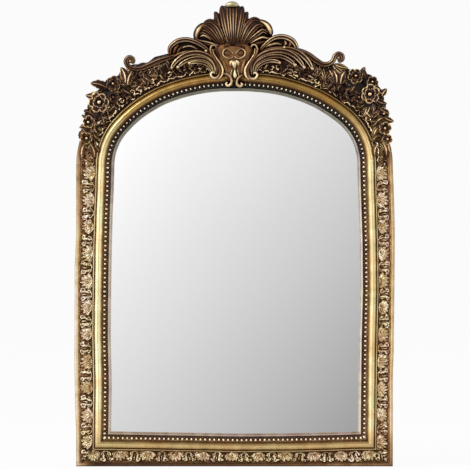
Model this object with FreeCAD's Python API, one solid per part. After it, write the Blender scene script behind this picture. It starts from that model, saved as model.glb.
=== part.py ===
import FreeCAD, Part
import math
import os
from FreeCAD import Vector

# An arched wall mirror in a gilded, carved frame.
# X runs to the viewer's right, Z up and Y from the front to the wall. The wall is the plane Y = 0.
# The origin is at the middle of the bottom edge, on the wall plane. All lengths are in millimetres.
# A place on the frame's section is (reach, rise): reach is outward from the sight edge, where the
# visible glass ends, and rise is forward from the wall plane.

os.makedirs("parts", exist_ok=True)

# The sight opening, an upright with a three-centred arch on top
sight_half_width = 250.0
side_height = 536.0
arch_rise = 156.0
haunch_radius = 110.0

# Widths of the frame's section, from the sight edge outward
slip_width = 4.5
bead_bed_width = 12.5
torus_width = 16.0
fillet_width = 4.0
ground_width = 25.0
rim_width = 6.0

# Depths of the frame's section
timber_depth = 20.0
glass_thickness = 4.0
liner_thickness = 2.0
board_thickness = 6.0
rebate_width = 10.0
glass_clearance = 1.5
board_clearance = 0.5
hardware_ledge_width = 24.0

# The gilded mouldings, measured forward from the timber's front face
slip_edge_rise = 1.4
slip_crown_rise = 3.8
bed_rise = 1.8
bead_radius = 3.7
bead_pitch = 9.2
torus_foot_rise = 4.0
torus_crown_rise = 13.5
torus_outer_rise = 8.5
fillet_rise = 10.5
ground_rise = 6.0
rim_foot_rise = 8.5
rim_crown_rise = 11.5

# The running leaf ornament on the frieze
palmette_pitch = 32.0
palmette_length = 21.0
palmette_leaf_width = 7.0
palmette_thickness = 6.0
palmette_leaves = 5
palmette_fan = 140.0
palmette_boss_radius = 3.4
palmette_end_gap = 12.0
arch_leaf_length = 18.0
arch_leaf_pitch = 11.0

# The crest, from the top of the sight opening upward
crest_half_span = 200.0
crest_rise = 174.0
crest_board_thickness = 16.0
crest_board_inset = 5.0
crest_relief = 38.0
crest_bevel = 4.0
plume_relief = 50.0
plume_tip_relief = 56.0
arm_relief = 32.0
cartouche_relief = 34.5
scroll_foot = cartouche_relief
pendant_foot = cartouche_relief
pendant_relief = 44.0
pendant_radius = 6.5
pendant_length = 24.0
pendant_lean = 32.0
flute_radius = 2.6
scroll_half_width = 2.8
small_scroll_half_width = 2.4
finger_half_width = 6.5
scroll_relief = 42.0

# The flower sprays on the haunches
spray_foot = 14.0
spray_leaf_relief = 38.0
spray_flower_relief = 41.0
petals = 6

# Dowels of the timber joints
dowel_radius = 4.0
dowel_length = 32.0
crest_dowel_spacing = 55.0

# Ring hangers
strap_width = 12.0
strap_length = 48.0
strap_thickness = 1.2
ring_wire_radius = 1.5
ring_clearance = 0.1
ring_half_width = 10.0
ring_drop = 19.0
ring_corner_radius = 3.5
hanger_below_spring = 34.0
strap_hole_near = 12.0
strap_hole_far = 38.0
hanger_screw_radius = 1.7
hanger_screw_head_radius = 3.4
hanger_screw_length = 11.0

# Turn buttons
button_width = 11.0
button_reach = 28.5
button_thickness = 2.0
button_pivot_reach = 22.0
button_screw_radius = 2.0
button_screw_clearance = 0.05
button_head_radius = 3.8
button_head_height = 1.8
button_head_gap = 0.1
button_screw_length = 9.0
button_low_share = 0.2
button_high_share = 0.66
slot_width = 0.9
slot_depth = 0.9

overrun = 5.0
smallest_chip = 60.0

# Sizes that follow
section_width = slip_width + bead_bed_width + torus_width + fillet_width + ground_width + rim_width
sight_bottom = section_width
outer_half_width = sight_half_width + section_width
spring_z = sight_bottom + side_height
sight_top = spring_z + arch_rise
haunch_centre_x = sight_half_width - haunch_radius
crown_radius = (haunch_centre_x**2 + arch_rise**2 - haunch_radius**2) / (
    2 * (arch_rise - haunch_radius)
)
crown_centre_z = sight_top - crown_radius
crown_half_angle = math.degrees(math.atan2(haunch_centre_x, spring_z - crown_centre_z))
haunch_sweep = 90 - crown_half_angle
ledge_rise = timber_depth - glass_thickness - liner_thickness - board_thickness
ledge_reach = rebate_width + hardware_ledge_width
bead_reach = slip_width + bead_bed_width / 2
torus_reach = slip_width + bead_bed_width
fillet_reach = torus_reach + torus_width
ground_reach = fillet_reach + fillet_width
rim_reach = ground_reach + ground_width
palmette_reach = ground_reach + (ground_width - palmette_length) / 2
forward = Vector(0, -1, 0)
backward = Vector(0, 1, 0)

# Sections as (reach, rise) points. An entry of four numbers is an arc: through the first pair to the second.
timber_section = [
    (rebate_width, ledge_rise),
    (ledge_reach, ledge_rise),
    (ledge_reach, 0),
    (section_width, 0),
    (section_width, timber_depth),
    (rebate_width, timber_depth),
]
sight_section = [
    (0, timber_depth),
    (0, timber_depth + slip_edge_rise),
    (slip_width / 2, timber_depth + slip_crown_rise, slip_width, timber_depth + bed_rise),
    (torus_reach, timber_depth + bed_rise),
    (torus_reach, timber_depth),
]
torus_section = [
    (torus_reach, timber_depth),
    (torus_reach, timber_depth + torus_foot_rise),
    (
        torus_reach + torus_width / 2,
        timber_depth + torus_crown_rise,
        fillet_reach,
        timber_depth + torus_outer_rise,
    ),
    (fillet_reach, timber_depth + torus_outer_rise - fillet_width / 2),
    (fillet_reach + fillet_width / 4, timber_depth + torus_outer_rise - fillet_width / 2),
    (fillet_reach + fillet_width / 4, timber_depth + fillet_rise),
    (ground_reach, timber_depth + fillet_rise),
    (ground_reach, timber_depth),
]
frieze_section = [
    (ground_reach, timber_depth),
    (ground_reach, timber_depth + ground_rise),
    (rim_reach, timber_depth + ground_rise),
    (rim_reach, timber_depth + rim_foot_rise),
    (
        rim_reach + rim_width / 2,
        timber_depth + rim_crown_rise,
        section_width,
        timber_depth + rim_foot_rise,
    ),
    (section_width, timber_depth),
]


# Closed wire through a list of corner points and arcs, set out by a placing function
def wire_of(steps, place):
    start = place(*steps[0])
    here = start
    edges = []
    for step in steps[1:]:
        if len(step) == 4:
            end = place(step[2], step[3])
            edges.append(Part.Arc(here, place(step[0], step[1]), end).toShape())
        else:
            end = place(*step)
            edges.append(Part.LineSegment(here, end).toShape())
        here = end
    edges.append(Part.LineSegment(here, start).toShape())
    return Part.Wire(edges)


def flat_face(steps, place):
    return Part.Face(wire_of(steps, place))


def turned_out(solid):
    return solid if solid.Volume > 0 else solid.reversed()


def revolved(face, centre, axis, degrees):
    return turned_out(face.revolve(centre, axis, degrees))


def export(name, shape):
    solids = shape.Solids
    volume = sum(s.Volume for s in solids)
    print(name, len(solids), "solids", round(volume), "mm3", shape.isValid())
    body = solids[0] if len(solids) == 1 else Part.makeCompound(solids)
    body.exportStep("parts/" + name + ".step")
    made[name] = body
    return body


# A prism from an outline of (x, z) points, between two rises
def prism(points, low, high):
    wire = Part.makePolygon([Vector(x, -low, z) for x, z in points + points[:1]])
    return Part.Face(wire).extrude(forward * (high - low))


# The block whose slanted ends are the mitres of the two bottom corners
def mitre_block():
    corners = [
        (-outer_half_width, 0),
        (outer_half_width, 0),
        (sight_half_width, sight_bottom),
        (-sight_half_width, sight_bottom),
    ]
    return prism(corners, -overrun, plume_tip_relief)


def side_run(section, side):
    face = flat_face(section, lambda reach, rise: Vector(side * (sight_half_width + reach), -rise, 0))
    return face.extrude(Vector(0, 0, spring_z)).cut(mitre_block())


def bottom_run(section):
    face = flat_face(section, lambda reach, rise: Vector(-outer_half_width, -rise, sight_bottom - reach))
    return face.extrude(Vector(2 * outer_half_width, 0, 0)).common(mitre_block())


def haunch_run(section, side):
    face = flat_face(
        section, lambda reach, rise: Vector(side * (sight_half_width + reach), -rise, spring_z)
    )
    return revolved(face, Vector(side * haunch_centre_x, 0, spring_z), backward, -side * haunch_sweep)


def crown_run(section):
    centre = Vector(0, 0, crown_centre_z)
    face = flat_face(section, lambda reach, rise: Vector(0, -rise, sight_top + reach))
    face.rotate(centre, backward, crown_half_angle)
    return revolved(face, centre, backward, -2 * crown_half_angle)


def arch_run(section):
    return crown_run(section).fuse([haunch_run(section, -1), haunch_run(section, 1)])


# Closed outline of the arched panel whose edge lies at a reach from the sight edge
def panel_wire(reach):
    half, foot = sight_half_width + reach, sight_bottom - reach

    def haunch_point(side, angle):
        radius = haunch_radius + reach
        return Vector(
            side * (haunch_centre_x + radius * math.cos(math.radians(angle))),
            0,
            spring_z + radius * math.sin(math.radians(angle)),
        )

    ends = {side: haunch_point(side, haunch_sweep) for side in (-1, 1)}
    middles = {side: haunch_point(side, haunch_sweep / 2) for side in (-1, 1)}
    springs = {side: Vector(side * half, 0, spring_z) for side in (-1, 1)}
    corners = {side: Vector(side * half, 0, foot) for side in (-1, 1)}
    top = Vector(0, 0, sight_top + reach)
    return Part.Wire(
        [
            Part.LineSegment(corners[-1], corners[1]).toShape(),
            Part.LineSegment(corners[1], springs[1]).toShape(),
            Part.Arc(springs[1], middles[1], ends[1]).toShape(),
            Part.Arc(ends[1], top, ends[-1]).toShape(),
            Part.Arc(ends[-1], middles[-1], springs[-1]).toShape(),
            Part.LineSegment(springs[-1], corners[-1]).toShape(),
        ]
    )


def panel(reach, low, high):
    face = Part.Face(panel_wire(reach))
    face.translate(forward * low)
    return face.extrude(forward * (high - low))


# Place on the half arch of one side: along is the share of its length from the spring to the crown.
# Gives x, z and the outward direction's turn from straight up, in degrees.
def arch_place(side, along, reach):
    haunch_length = haunch_radius * math.radians(haunch_sweep)
    crown_length = crown_radius * math.radians(crown_half_angle)
    distance = along * (haunch_length + crown_length)
    if distance < haunch_length:
        turn = 90 - math.degrees(distance / haunch_radius)
        centre_x, centre_z, radius = haunch_centre_x, spring_z, haunch_radius + reach
    else:
        turn = crown_half_angle - math.degrees((distance - haunch_length) / crown_radius)
        centre_x, centre_z, radius = 0, crown_centre_z, crown_radius + reach
    x = centre_x + radius * math.sin(math.radians(turn))
    z = centre_z + radius * math.cos(math.radians(turn))
    return side * x, z, side * turn


# Evenly spaced places on a run, between two ends, as x, z and turn
def stations(run, reach, pitch, end_gap):
    if run == "arch":
        half = haunch_radius * math.radians(haunch_sweep) + crown_radius * math.radians(crown_half_angle)
        scale = (crown_radius + reach) / crown_radius
        count = max(1, round((half * scale - end_gap) / pitch))
        shares = [(k + 1 / 2) / count for k in range(count)]
        return [arch_place(side, share, reach) for side in (-1, 1) for share in shares]
    half = sight_half_width + reach
    if run == "bottom":
        length = 2 * (half - end_gap)
        count = max(1, int(length / pitch))
        step = length / count
        return [(-length / 2 + (k + 1 / 2) * step, sight_bottom - reach, 180) for k in range(count)]
    side = -1 if run == "left" else 1
    foot = sight_bottom - reach + end_gap
    length = spring_z - foot
    count = max(1, int(length / pitch))
    step = length / count
    return [(side * half, foot + (k + 1 / 2) * step, side * 90) for k in range(count)]


def placed(shape, x, rise, z, turn):
    copy = shape.copy()
    copy.rotate(Vector(0, 0, 0), backward, turn)
    copy.translate(Vector(x, -rise, z))
    return copy


# Pointed leaf that lies on a flat ground: a lens outline lofted to a narrower top
leaf_top_share = 0.45


def lens_wire(length, width, rise, share):
    middle, half = length / 2, length / 2 * share
    low, high = Vector(0, -rise, middle - half), Vector(0, -rise, middle + half)
    out = width / 2 * share
    return Part.Wire(
        [
            Part.Arc(low, Vector(out, -rise, middle), high).toShape(),
            Part.Arc(high, Vector(-out, -rise, middle), low).toShape(),
        ]
    )


def leaf(length, width, low, high):
    waist = high - (high - low) / 2
    return Part.makeLoft(
        [
            lens_wire(length, width, low, 1),
            lens_wire(length, width, waist, 1),
            lens_wire(length, width, high, leaf_top_share),
        ],
        True,
        True,
    )


# Round peg with a spherical cap, standing on a flat ground at the origin
def domed_peg(radius, low, shoulder, high):
    dome = high - shoulder
    sphere = (radius**2 + dome**2) / (2 * dome)
    half_angle = math.asin(min(1, radius / sphere)) / 2
    middle = Vector(
        sphere * math.sin(half_angle), sphere - high - sphere * math.cos(half_angle), 0
    )
    foot, heel = Vector(0, -low, 0), Vector(radius, -low, 0)
    edge, top = Vector(radius, -shoulder, 0), Vector(0, -high, 0)
    profile = Part.Wire(
        [
            Part.LineSegment(foot, heel).toShape(),
            Part.LineSegment(heel, edge).toShape(),
            Part.Arc(edge, middle, top).toShape(),
            Part.LineSegment(top, foot).toShape(),
        ]
    )
    return revolved(Part.Face(profile), Vector(0, 0, 0), backward, 360)


# Fan of leaves round a small boss, its root at the outer edge of the frieze
def palmette():
    leaves = []
    for k in range(palmette_leaves):
        angle = palmette_fan * (k / (palmette_leaves - 1) - 1 / 2)
        blade = leaf(palmette_length, palmette_leaf_width, 0, palmette_thickness)
        blade.rotate(Vector(0, 0, 0), backward, angle)
        leaves.append(blade)
    boss = domed_peg(palmette_boss_radius, 0, palmette_thickness / 2, palmette_thickness)
    fan = boss.fuse(leaves)
    room = prism(
        [
            (-palmette_pitch / 2 + slot_width, -palmette_boss_radius),
            (palmette_pitch / 2 - slot_width, -palmette_boss_radius),
            (palmette_pitch / 2 - slot_width, palmette_length),
            (-palmette_pitch / 2 + slot_width, palmette_length),
        ],
        0,
        palmette_thickness,
    )
    return fan.common(room)


# The crest's outlines, as shares: x of the crest's half span, z of its rise above the sight opening.
# Each list is a right-hand shape or a right half, from the foot upward and round.
plume_shares = [
    (0, 0.47),
    (0.05, 0.49),
    (0.09, 0.60),
    (0.125, 0.73),
    (0.142, 0.80),
    (0.148, 0.86),
    (0.115, 0.895),
    (0.10, 0.93),
    (0.05, 0.955),
    (0, 0.96),
]
plume_tip_shares = [(0, 0.925), (0.06, 0.93), (0.085, 0.955), (0.05, 0.98), (0, 0.99)]
fan_shares = [
    (0.09, 0.50),
    (0.13, 0.66),
    (0.17, 0.755),
    (0.235, 0.80),
    (0.31, 0.785),
    (0.375, 0.73),
    (0.40, 0.64),
    (0.34, 0.575),
    (0.25, 0.53),
    (0.15, 0.46),
]
shoulder_shares = [
    (0.17, 0.45),
    (0.27, 0.56),
    (0.37, 0.615),
    (0.47, 0.63),
    (0.585, 0.59),
    (0.64, 0.52),
    (0.635, 0.445),
    (0.54, 0.42),
    (0.42, 0.425),
    (0.29, 0.39),
    (0.19, 0.37),
]
arm_shares = [
    (0.60, 0.44),
    (0.68, 0.46),
    (0.78, 0.42),
    (0.91, 0.31),
    (0.99, 0.30),
    (1.06, 0.29),
    (1.10, 0.21),
    (1.05, 0.12),
    (0.94, 0.17),
    (0.84, 0.22),
    (0.76, 0.31),
]
cartouche_shares = [
    (0, 0.475),
    (0.11, 0.470),
    (0.16, 0.43),
    (0.185, 0.38),
    (0.182, 0.34),
    (0.157, 0.28),
    (0.139, 0.20),
    (0.12, 0.145),
    (0.06, 0.115),
    (0, 0.11),
]
crest_board_shares = [
    (1.03, 0.10),
    (1.05, 0.20),
    (1.00, 0.27),
    (0.90, 0.27),
    (0.80, 0.36),
    (0.66, 0.40),
    (0.60, 0.52),
    (0.47, 0.58),
    (0.39, 0.57),
    (0.36, 0.68),
    (0.26, 0.745),
    (0.16, 0.70),
    (0.11, 0.81),
    (0, 0.90),
]
volute_share = (1.05, 0.33)
volute_radius_share = 0.063
pendant_share = (0, 0.285)
sepal_share = 0.6

# Grooves of the fluted pieces: root as shares, first and last angle from upright, count, length as a share
plume_grooves = ((0, 0.40), -17, 17, 7, 0.6)
lobe_grooves = ((0.10, 0.40), 12, 62, 5, 0.5)
shoulder_grooves = ((0.18, 0.36), 52, 80, 3, 0.6)


def crest_point(share, side=1):
    return Vector(side * share[0] * crest_half_span, 0, sight_top + share[1] * crest_rise)


# Smooth closed outline through share points, moved inward by an inset and forward to a rise
def smooth_wire(points, inset, rise):
    moved = []
    for k, here in enumerate(points):
        chord = points[(k + 1) % len(points)] - points[k - 1]
        inward = chord.cross(backward).normalize()
        moved.append(here + inward * inset + forward * rise)
    curve = Part.BSplineCurve()
    curve.interpolate(Points=moved, PeriodicFlag=True)
    return Part.Wire([curve.toShape()])


def turned_inward(points):
    area = sum(
        points[k - 1].x * points[k].z - points[k].x * points[k - 1].z for k in range(len(points))
    )
    return points if area > 0 else points[::-1]


# Carved slab: the outline rises straight, then slopes in over the bevel
def slab(points, low, high, bevel):
    points = turned_inward(points)
    return Part.makeLoft(
        [
            smooth_wire(points, 0, low),
            smooth_wire(points, 0, high - bevel * 2),
            smooth_wire(points, bevel, high),
        ],
        True,
        True,
    )


def mirrored_points(half):
    right = [crest_point(share) for share in half]
    left = [crest_point(share, -1) for share in half[::-1] if share[0]]
    return right + left


# Flutes: round grooves that fan out from a root on the front of a slab
def fluted(shape, root, first, last, count, length, rise):
    grooves = []
    for k in range(count):
        angle = first + (last - first) * k / (count - 1)
        way = Vector(math.sin(math.radians(angle)), 0, math.cos(math.radians(angle)))
        foot = root + forward * rise
        grooves.append(Part.makeCylinder(flute_radius, length, foot, way))
    return shape.cut(grooves)


# Ribbon with a rounded top that follows tangent arcs: each turn is (radius, degrees), left if positive
def scroll(start, heading, turns, half_width, low, high):
    here, angle = Vector(start), heading
    shoulder = high - half_width
    parts = []
    for radius, degrees in turns:
        left = Vector(-math.sin(math.radians(angle)), 0, math.cos(math.radians(angle)))
        centre = here + left * math.copysign(radius, degrees)
        steps = [
            (-half_width, low),
            (-half_width, shoulder),
            (0, high, half_width, shoulder),
            (half_width, low),
        ]
        face = flat_face(steps, lambda across, rise: here + left * across + forward * rise)
        parts.append(revolved(face, centre, forward, degrees))
        arm = here - centre
        turn = math.radians(degrees)
        arm = Vector(
            arm.x * math.cos(turn) - arm.z * math.sin(turn),
            0,
            arm.x * math.sin(turn) + arm.z * math.cos(turn),
        )
        here, angle = centre + arm, angle + degrees
    eye = domed_peg(half_width * eye_share, low, shoulder, high + half_width / 2)
    eye.translate(here)
    parts.append(eye)
    return parts[0].fuse(parts[1:])


eye_share = 1.25

# Scrolls of the crest. Starts are crest shares; each turn is a radius, as a share of the crest's rise,
# with its sweep in degrees. All are the right-hand ones.
s_scroll_start_share = (0.186, 0.469)
s_scroll_turns_share = [(0.0305, -180), (0.205, -38), (0.32, 43), (0.063, 95), (0.0345, 170)]
s_scroll_heading = 90.0
lower_scroll_start_share = (0.115, 0.132)
lower_scroll_turns_share = [(0.172, 30), (0.052, 90), (0.144, 15), (0.026, 150)]
lower_scroll_heading = 165.0
finger_start_shares = [(0.18, 0.105), (0.19, 0.105), (0.20, 0.105)]
finger_headings = [88.0, 86.0, 82.0]
finger_turns_shares = [
    [(0.43, -38), (0.16, -42), (0.546, -45), (0.092, -60)],
    [(0.40, -40), (0.115, -40), (0.43, -45), (0.069, -50)],
    [(0.345, -40), (0.092, -42), (0.287, -38)],
]
bow_start_share = (0.025, 0.4425)
bow_turns_share = [(0.052, -120), (0.0546, -110)]
bow_heading = 30.0


def crest_scroll(start_share, heading, turns_share, side, half_width, low, high):
    turns = [(share * crest_rise, side * degrees) for share, degrees in turns_share]
    angle = heading if side > 0 else 180 - heading
    return scroll(crest_point(start_share, side), angle, turns, half_width, low, high)


# The spray tables, as shares: along the half arch, reach and size of the section's width, and a turn
# in degrees from straight outward. The two sides differ a little, as they do on the object.
left_flower_shares = [
    (0.262, 1.08, 0.30),
    (0.354, 1.24, 0.235),
    (0.178, 0.98, 0.185),
    (0.112, 0.87, 0.18),
]
right_flower_shares = [
    (0.284, 1.22, 0.27),
    (0.376, 1.42, 0.225),
    (0.150, 0.92, 0.19),
]
left_leaf_shares = [
    (0.305, 1.12, 0.50, 0.30, 8),
    (0.440, 0.86, 0.62, 0.34, 12),
    (0.405, 0.86, 0.52, 0.26, -26),
    (0.230, 0.72, 0.42, 0.22, 30),
    (0.075, 0.60, 0.40, 0.24, -60),
    (0.050, 0.66, 0.46, 0.28, 94),
]
right_leaf_shares = [
    (0.318, 1.22, 0.60, 0.36, 0),
    (0.262, 1.20, 0.56, 0.30, 22),
    (0.470, 0.82, 0.62, 0.34, 8),
    (0.430, 0.90, 0.50, 0.26, 24),
    (0.215, 0.86, 0.55, 0.30, 34),
    (0.110, 0.72, 0.52, 0.26, 48),
    (0.060, 0.70, 0.50, 0.28, 92),
]
petal_share = 0.44
petal_ring_share = 0.56
flower_eye_share = 0.26


def flower(radius, low, high):
    petal_radius = radius * petal_share
    ring = radius * petal_ring_share
    shoulder = high - petal_radius
    pegs = []
    for k in range(petals):
        angle = 2 * math.pi * k / petals
        peg = domed_peg(petal_radius, low, shoulder, high - petal_radius / 2)
        peg.translate(Vector(ring * math.sin(angle), 0, ring * math.cos(angle)))
        pegs.append(peg)
    centre = domed_peg(radius * flower_eye_share, low, shoulder, high)
    return centre.fuse(pegs)


def spray(side, flower_shares, leaf_shares):
    flowers, leaves = [], []
    for along, reach, size in flower_shares:
        x, z, turn = arch_place(side, along, reach * section_width)
        bloom = flower(size * section_width, spray_foot, spray_flower_relief)
        flowers.append(placed(bloom, x, 0, z, turn))
    for along, reach, length, width, lean in leaf_shares:
        x, z, turn = arch_place(side, along, reach * section_width)
        blade = leaf(length * section_width, width * section_width, spray_foot, spray_leaf_relief)
        leaves.append(placed(blade, x, 0, z, turn + side * lean))
    return flowers, leaves


made = {}


# Timber core: two stiles, a bottom rail, two haunches and a crown
def timber_dowels():
    reaches = {"ledge": (rebate_width + ledge_reach) / 2, "outer": (ledge_reach + section_width) / 2}
    rises = {"ledge": (ledge_rise + timber_depth) / 2, "outer": timber_depth / 2}
    pins = []

    def pin(x, z, rise, angle):
        way = Vector(math.sin(math.radians(angle)), 0, math.cos(math.radians(angle)))
        foot = Vector(x, -rise, z) - way * (dowel_length / 2)
        pins.append(Part.makeCylinder(dowel_radius, dowel_length, foot, way))

    for side in (-1, 1):
        for zone, reach in reaches.items():
            rise = rises[zone]
            pin(side * (sight_half_width + reach), spring_z, rise, 0)
            pin(side * (sight_half_width + reach), sight_bottom - reach, rise, side * 45)
            radius = crown_radius + reach
            angle = math.radians(crown_half_angle)
            x = side * radius * math.sin(angle)
            z = crown_centre_z + radius * math.cos(angle)
            pin(x, z, rise, side * (crown_half_angle + 90))
    for step in (-1, 0, 1):
        x = step * crest_dowel_spacing
        radius = crown_radius + section_width
        z = crown_centre_z + math.sqrt(radius**2 - x**2)
        pin(x, z, crest_board_thickness / 2, 0)
    return pins


def crest_board():
    points = [crest_point(share) for share in crest_board_shares]
    points += [crest_point(share, -1) for share in crest_board_shares[-2::-1]]
    foot = sight_top - crest_rise / 2
    outline = [(p.x, p.z) for p in points] + [(points[-1].x, foot), (points[0].x, foot)]
    arch = Part.makeCylinder(
        crown_radius + section_width,
        crest_board_thickness + 2 * overrun,
        Vector(0, overrun, crown_centre_z),
        forward,
    )
    return prism(outline, 0, crest_board_thickness).cut(arch)


dowels = timber_dowels()
board = crest_board()


# Screws into the ledge point forward; their heads are towards the wall
def screw(x, z, shank_radius, length, head_profile):
    profile = [(0, -length), (shank_radius, -length)] + head_profile
    base = ledge_rise
    wire = Part.makePolygon(
        [Vector(radius, -base + out, 0) for radius, out in profile + profile[:1]]
    )
    body = revolved(Part.Face(wire), Vector(0, 0, 0), backward, 360)
    body.translate(Vector(x, 0, z))
    return body


def driver_slot(x, z, top):
    half = button_head_radius
    cuts = []
    for wide, tall in ((half, slot_width / 2), (slot_width / 2, half / 2)):
        cuts.append(
            Part.makeBox(2 * wide, slot_depth + overrun, 2 * tall, Vector(x - wide, -top, z - tall))
        )
    return cuts


# Turn button, pivoted on the ledge, its arm over the edge of the backboard
def turn_button(x, z, inward_x, inward_z):
    half = button_width / 2
    low, high = ledge_rise - button_thickness, ledge_rise
    side_x, side_z = -inward_z, inward_x
    tip_x, tip_z = x + inward_x * (button_reach - half), z + inward_z * (button_reach - half)

    def corner(base_x, base_z, sign):
        return Vector(base_x + sign * side_x * half, -low, base_z + sign * side_z * half)

    heel = Vector(x - inward_x * half, -low, z - inward_z * half)
    nose = Vector(tip_x + inward_x * half, -low, tip_z + inward_z * half)
    outline = Part.Wire(
        [
            Part.Arc(corner(x, z, -1), heel, corner(x, z, 1)).toShape(),
            Part.LineSegment(corner(x, z, 1), corner(tip_x, tip_z, 1)).toShape(),
            Part.Arc(corner(tip_x, tip_z, 1), nose, corner(tip_x, tip_z, -1)).toShape(),
            Part.LineSegment(corner(tip_x, tip_z, -1), corner(x, z, -1)).toShape(),
        ]
    )
    plate = Part.Face(outline).extrude(forward * (high - low))
    hole = Part.makeCylinder(
        button_screw_radius + button_screw_clearance,
        button_thickness + 2 * overrun,
        Vector(x, overrun - low, z),
        forward,
    )
    return plate.cut(hole)


def button_screw(x, z):
    seat = button_thickness + button_head_gap
    top = seat + button_head_height
    round_off = button_head_height / 3
    head = [
        (button_screw_radius, seat),
        (button_head_radius, seat),
        (button_head_radius, top - round_off),
        (button_head_radius - round_off, top),
        (0, top),
    ]
    body = screw(x, z, button_screw_radius, button_screw_length, head)
    return body.cut(driver_slot(x, z, ledge_rise - top + slot_depth))


button_places = {
    "turn_button_lower_left": (-1, button_low_share),
    "turn_button_upper_left": (-1, button_high_share),
    "turn_button_lower_right": (1, button_low_share),
    "turn_button_upper_right": (1, button_high_share),
}
buttons = {}
button_screws = []
for name, (side, share) in button_places.items():
    x, z = side * (sight_half_width + button_pivot_reach), sight_bottom + share * side_height
    buttons[name] = turn_button(x, z, -side, 0)
    button_screws.append(button_screw(x, z))
for name, z, way in (
    ("turn_button_bottom", sight_bottom - button_pivot_reach, 1),
    ("turn_button_top", sight_top + button_pivot_reach, -1),
):
    buttons[name] = turn_button(0, z, 0, way)
    button_screws.append(button_screw(0, z))

# Ring hangers on the ledge of each stile
loop_hole_radius = ring_wire_radius + ring_clearance
loop_radius = loop_hole_radius + strap_thickness
axis_rise = ledge_rise - loop_radius
axis_z = spring_z - hanger_below_spring
hanger_x = sight_half_width + (rebate_width + ledge_reach) / 2


def countersunk(clearance_radius=0.0):
    return [
        (hanger_screw_radius + clearance_radius, 0),
        (hanger_screw_head_radius + clearance_radius, strap_thickness),
        (0, strap_thickness),
    ]


def hanger_strap(x):
    half = strap_width / 2
    end_z = axis_z - strap_length
    plate = Part.makeBox(strap_width, strap_thickness, strap_length - half)
    plate.translate(Vector(x - half, -ledge_rise, end_z + half))
    tongue = Part.makeCylinder(half, strap_thickness, Vector(x, -ledge_rise, end_z + half), backward)
    loop = Part.makeCylinder(
        loop_radius, strap_width, Vector(x - half, -axis_rise, axis_z), Vector(1, 0, 0)
    )
    bore = Part.makeCylinder(
        loop_hole_radius,
        strap_width + 2 * overrun,
        Vector(x - half - overrun, -axis_rise, axis_z),
        Vector(1, 0, 0),
    )
    return plate.fuse([tongue, loop]).cut(bore)


def hanger_ring(x):
    corner, half = ring_corner_radius, ring_half_width
    bottom = half - ring_drop
    diagonal = corner * (1 - math.sqrt(1 / 2))

    def at(along, drop):
        return Vector(x + along, -axis_rise, axis_z + drop)

    path = Part.Wire(
        [
            Part.LineSegment(at(corner - half, 0), at(half - corner, 0)).toShape(),
            Part.Arc(
                at(half - corner, 0), at(half - diagonal, -diagonal), at(half, -corner)
            ).toShape(),
            Part.LineSegment(at(half, -corner), at(half, bottom)).toShape(),
            Part.Arc(at(half, bottom), at(0, -ring_drop), at(-half, bottom)).toShape(),
            Part.LineSegment(at(-half, bottom), at(-half, -corner)).toShape(),
            Part.Arc(
                at(-half, -corner), at(diagonal - half, -diagonal), at(corner - half, 0)
            ).toShape(),
        ]
    )
    sections = []
    for edge in path.Edges:
        start = edge.valueAt(edge.FirstParameter)
        way = edge.tangentAt(edge.FirstParameter)
        disc = Part.Face(Part.Wire([Part.makeCircle(ring_wire_radius, start, way)]))
        if isinstance(edge.Curve, Part.Circle):
            turn = math.degrees(edge.LastParameter - edge.FirstParameter)
            sections.append(revolved(disc, edge.Curve.Center, edge.Curve.Axis, turn))
        else:
            sections.append(disc.extrude(way * edge.Length))
    return sections[0].fuse(sections[1:]).removeSplitter()


straps, rings, hanger_screws = {}, {}, []
for name, side in (("left", -1), ("right", 1)):
    x = side * hanger_x
    strap = hanger_strap(x)
    for hole in (strap_hole_near, strap_hole_far):
        body = screw(x, axis_z - hole, hanger_screw_radius, hanger_screw_length, countersunk())
        hanger_screws.append(body)
    straps[name] = strap.cut(hanger_screws[-2:])
    rings[name] = hanger_ring(x)

fixings = dowels + button_screws + hanger_screws
timber = {
    "stile_left": side_run(timber_section, -1),
    "stile_right": side_run(timber_section, 1),
    "bottom_rail": bottom_run(timber_section),
    "arch_haunch_left": haunch_run(timber_section, -1),
    "arch_haunch_right": haunch_run(timber_section, 1),
    "arch_crown": crown_run(timber_section),
}
for name, shape in timber.items():
    export(name, shape.cut(fixings))
export("crest_board", board.cut(dowels))
export("dowels", Part.makeCompound(dowels))

# Glass, liner and backboard in the rebate
glass_reach = rebate_width - glass_clearance
board_reach = rebate_width - board_clearance
liner_front = timber_depth - glass_thickness
export("mirror_glass", panel(glass_reach, liner_front, timber_depth))
export("liner_sheet", panel(glass_reach, liner_front - liner_thickness, liner_front))
export("backboard", panel(board_reach, ledge_rise, ledge_rise + board_thickness))

# Hanging and holding hardware
for name in straps:
    export("hanger_strap_" + name, straps[name])
    export("hanger_ring_" + name, rings[name])
export("hanger_screws", Part.makeCompound(hanger_screws))
for name, shape in buttons.items():
    export(name, shape)
export("turn_button_screws", Part.makeCompound(button_screws))

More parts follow.
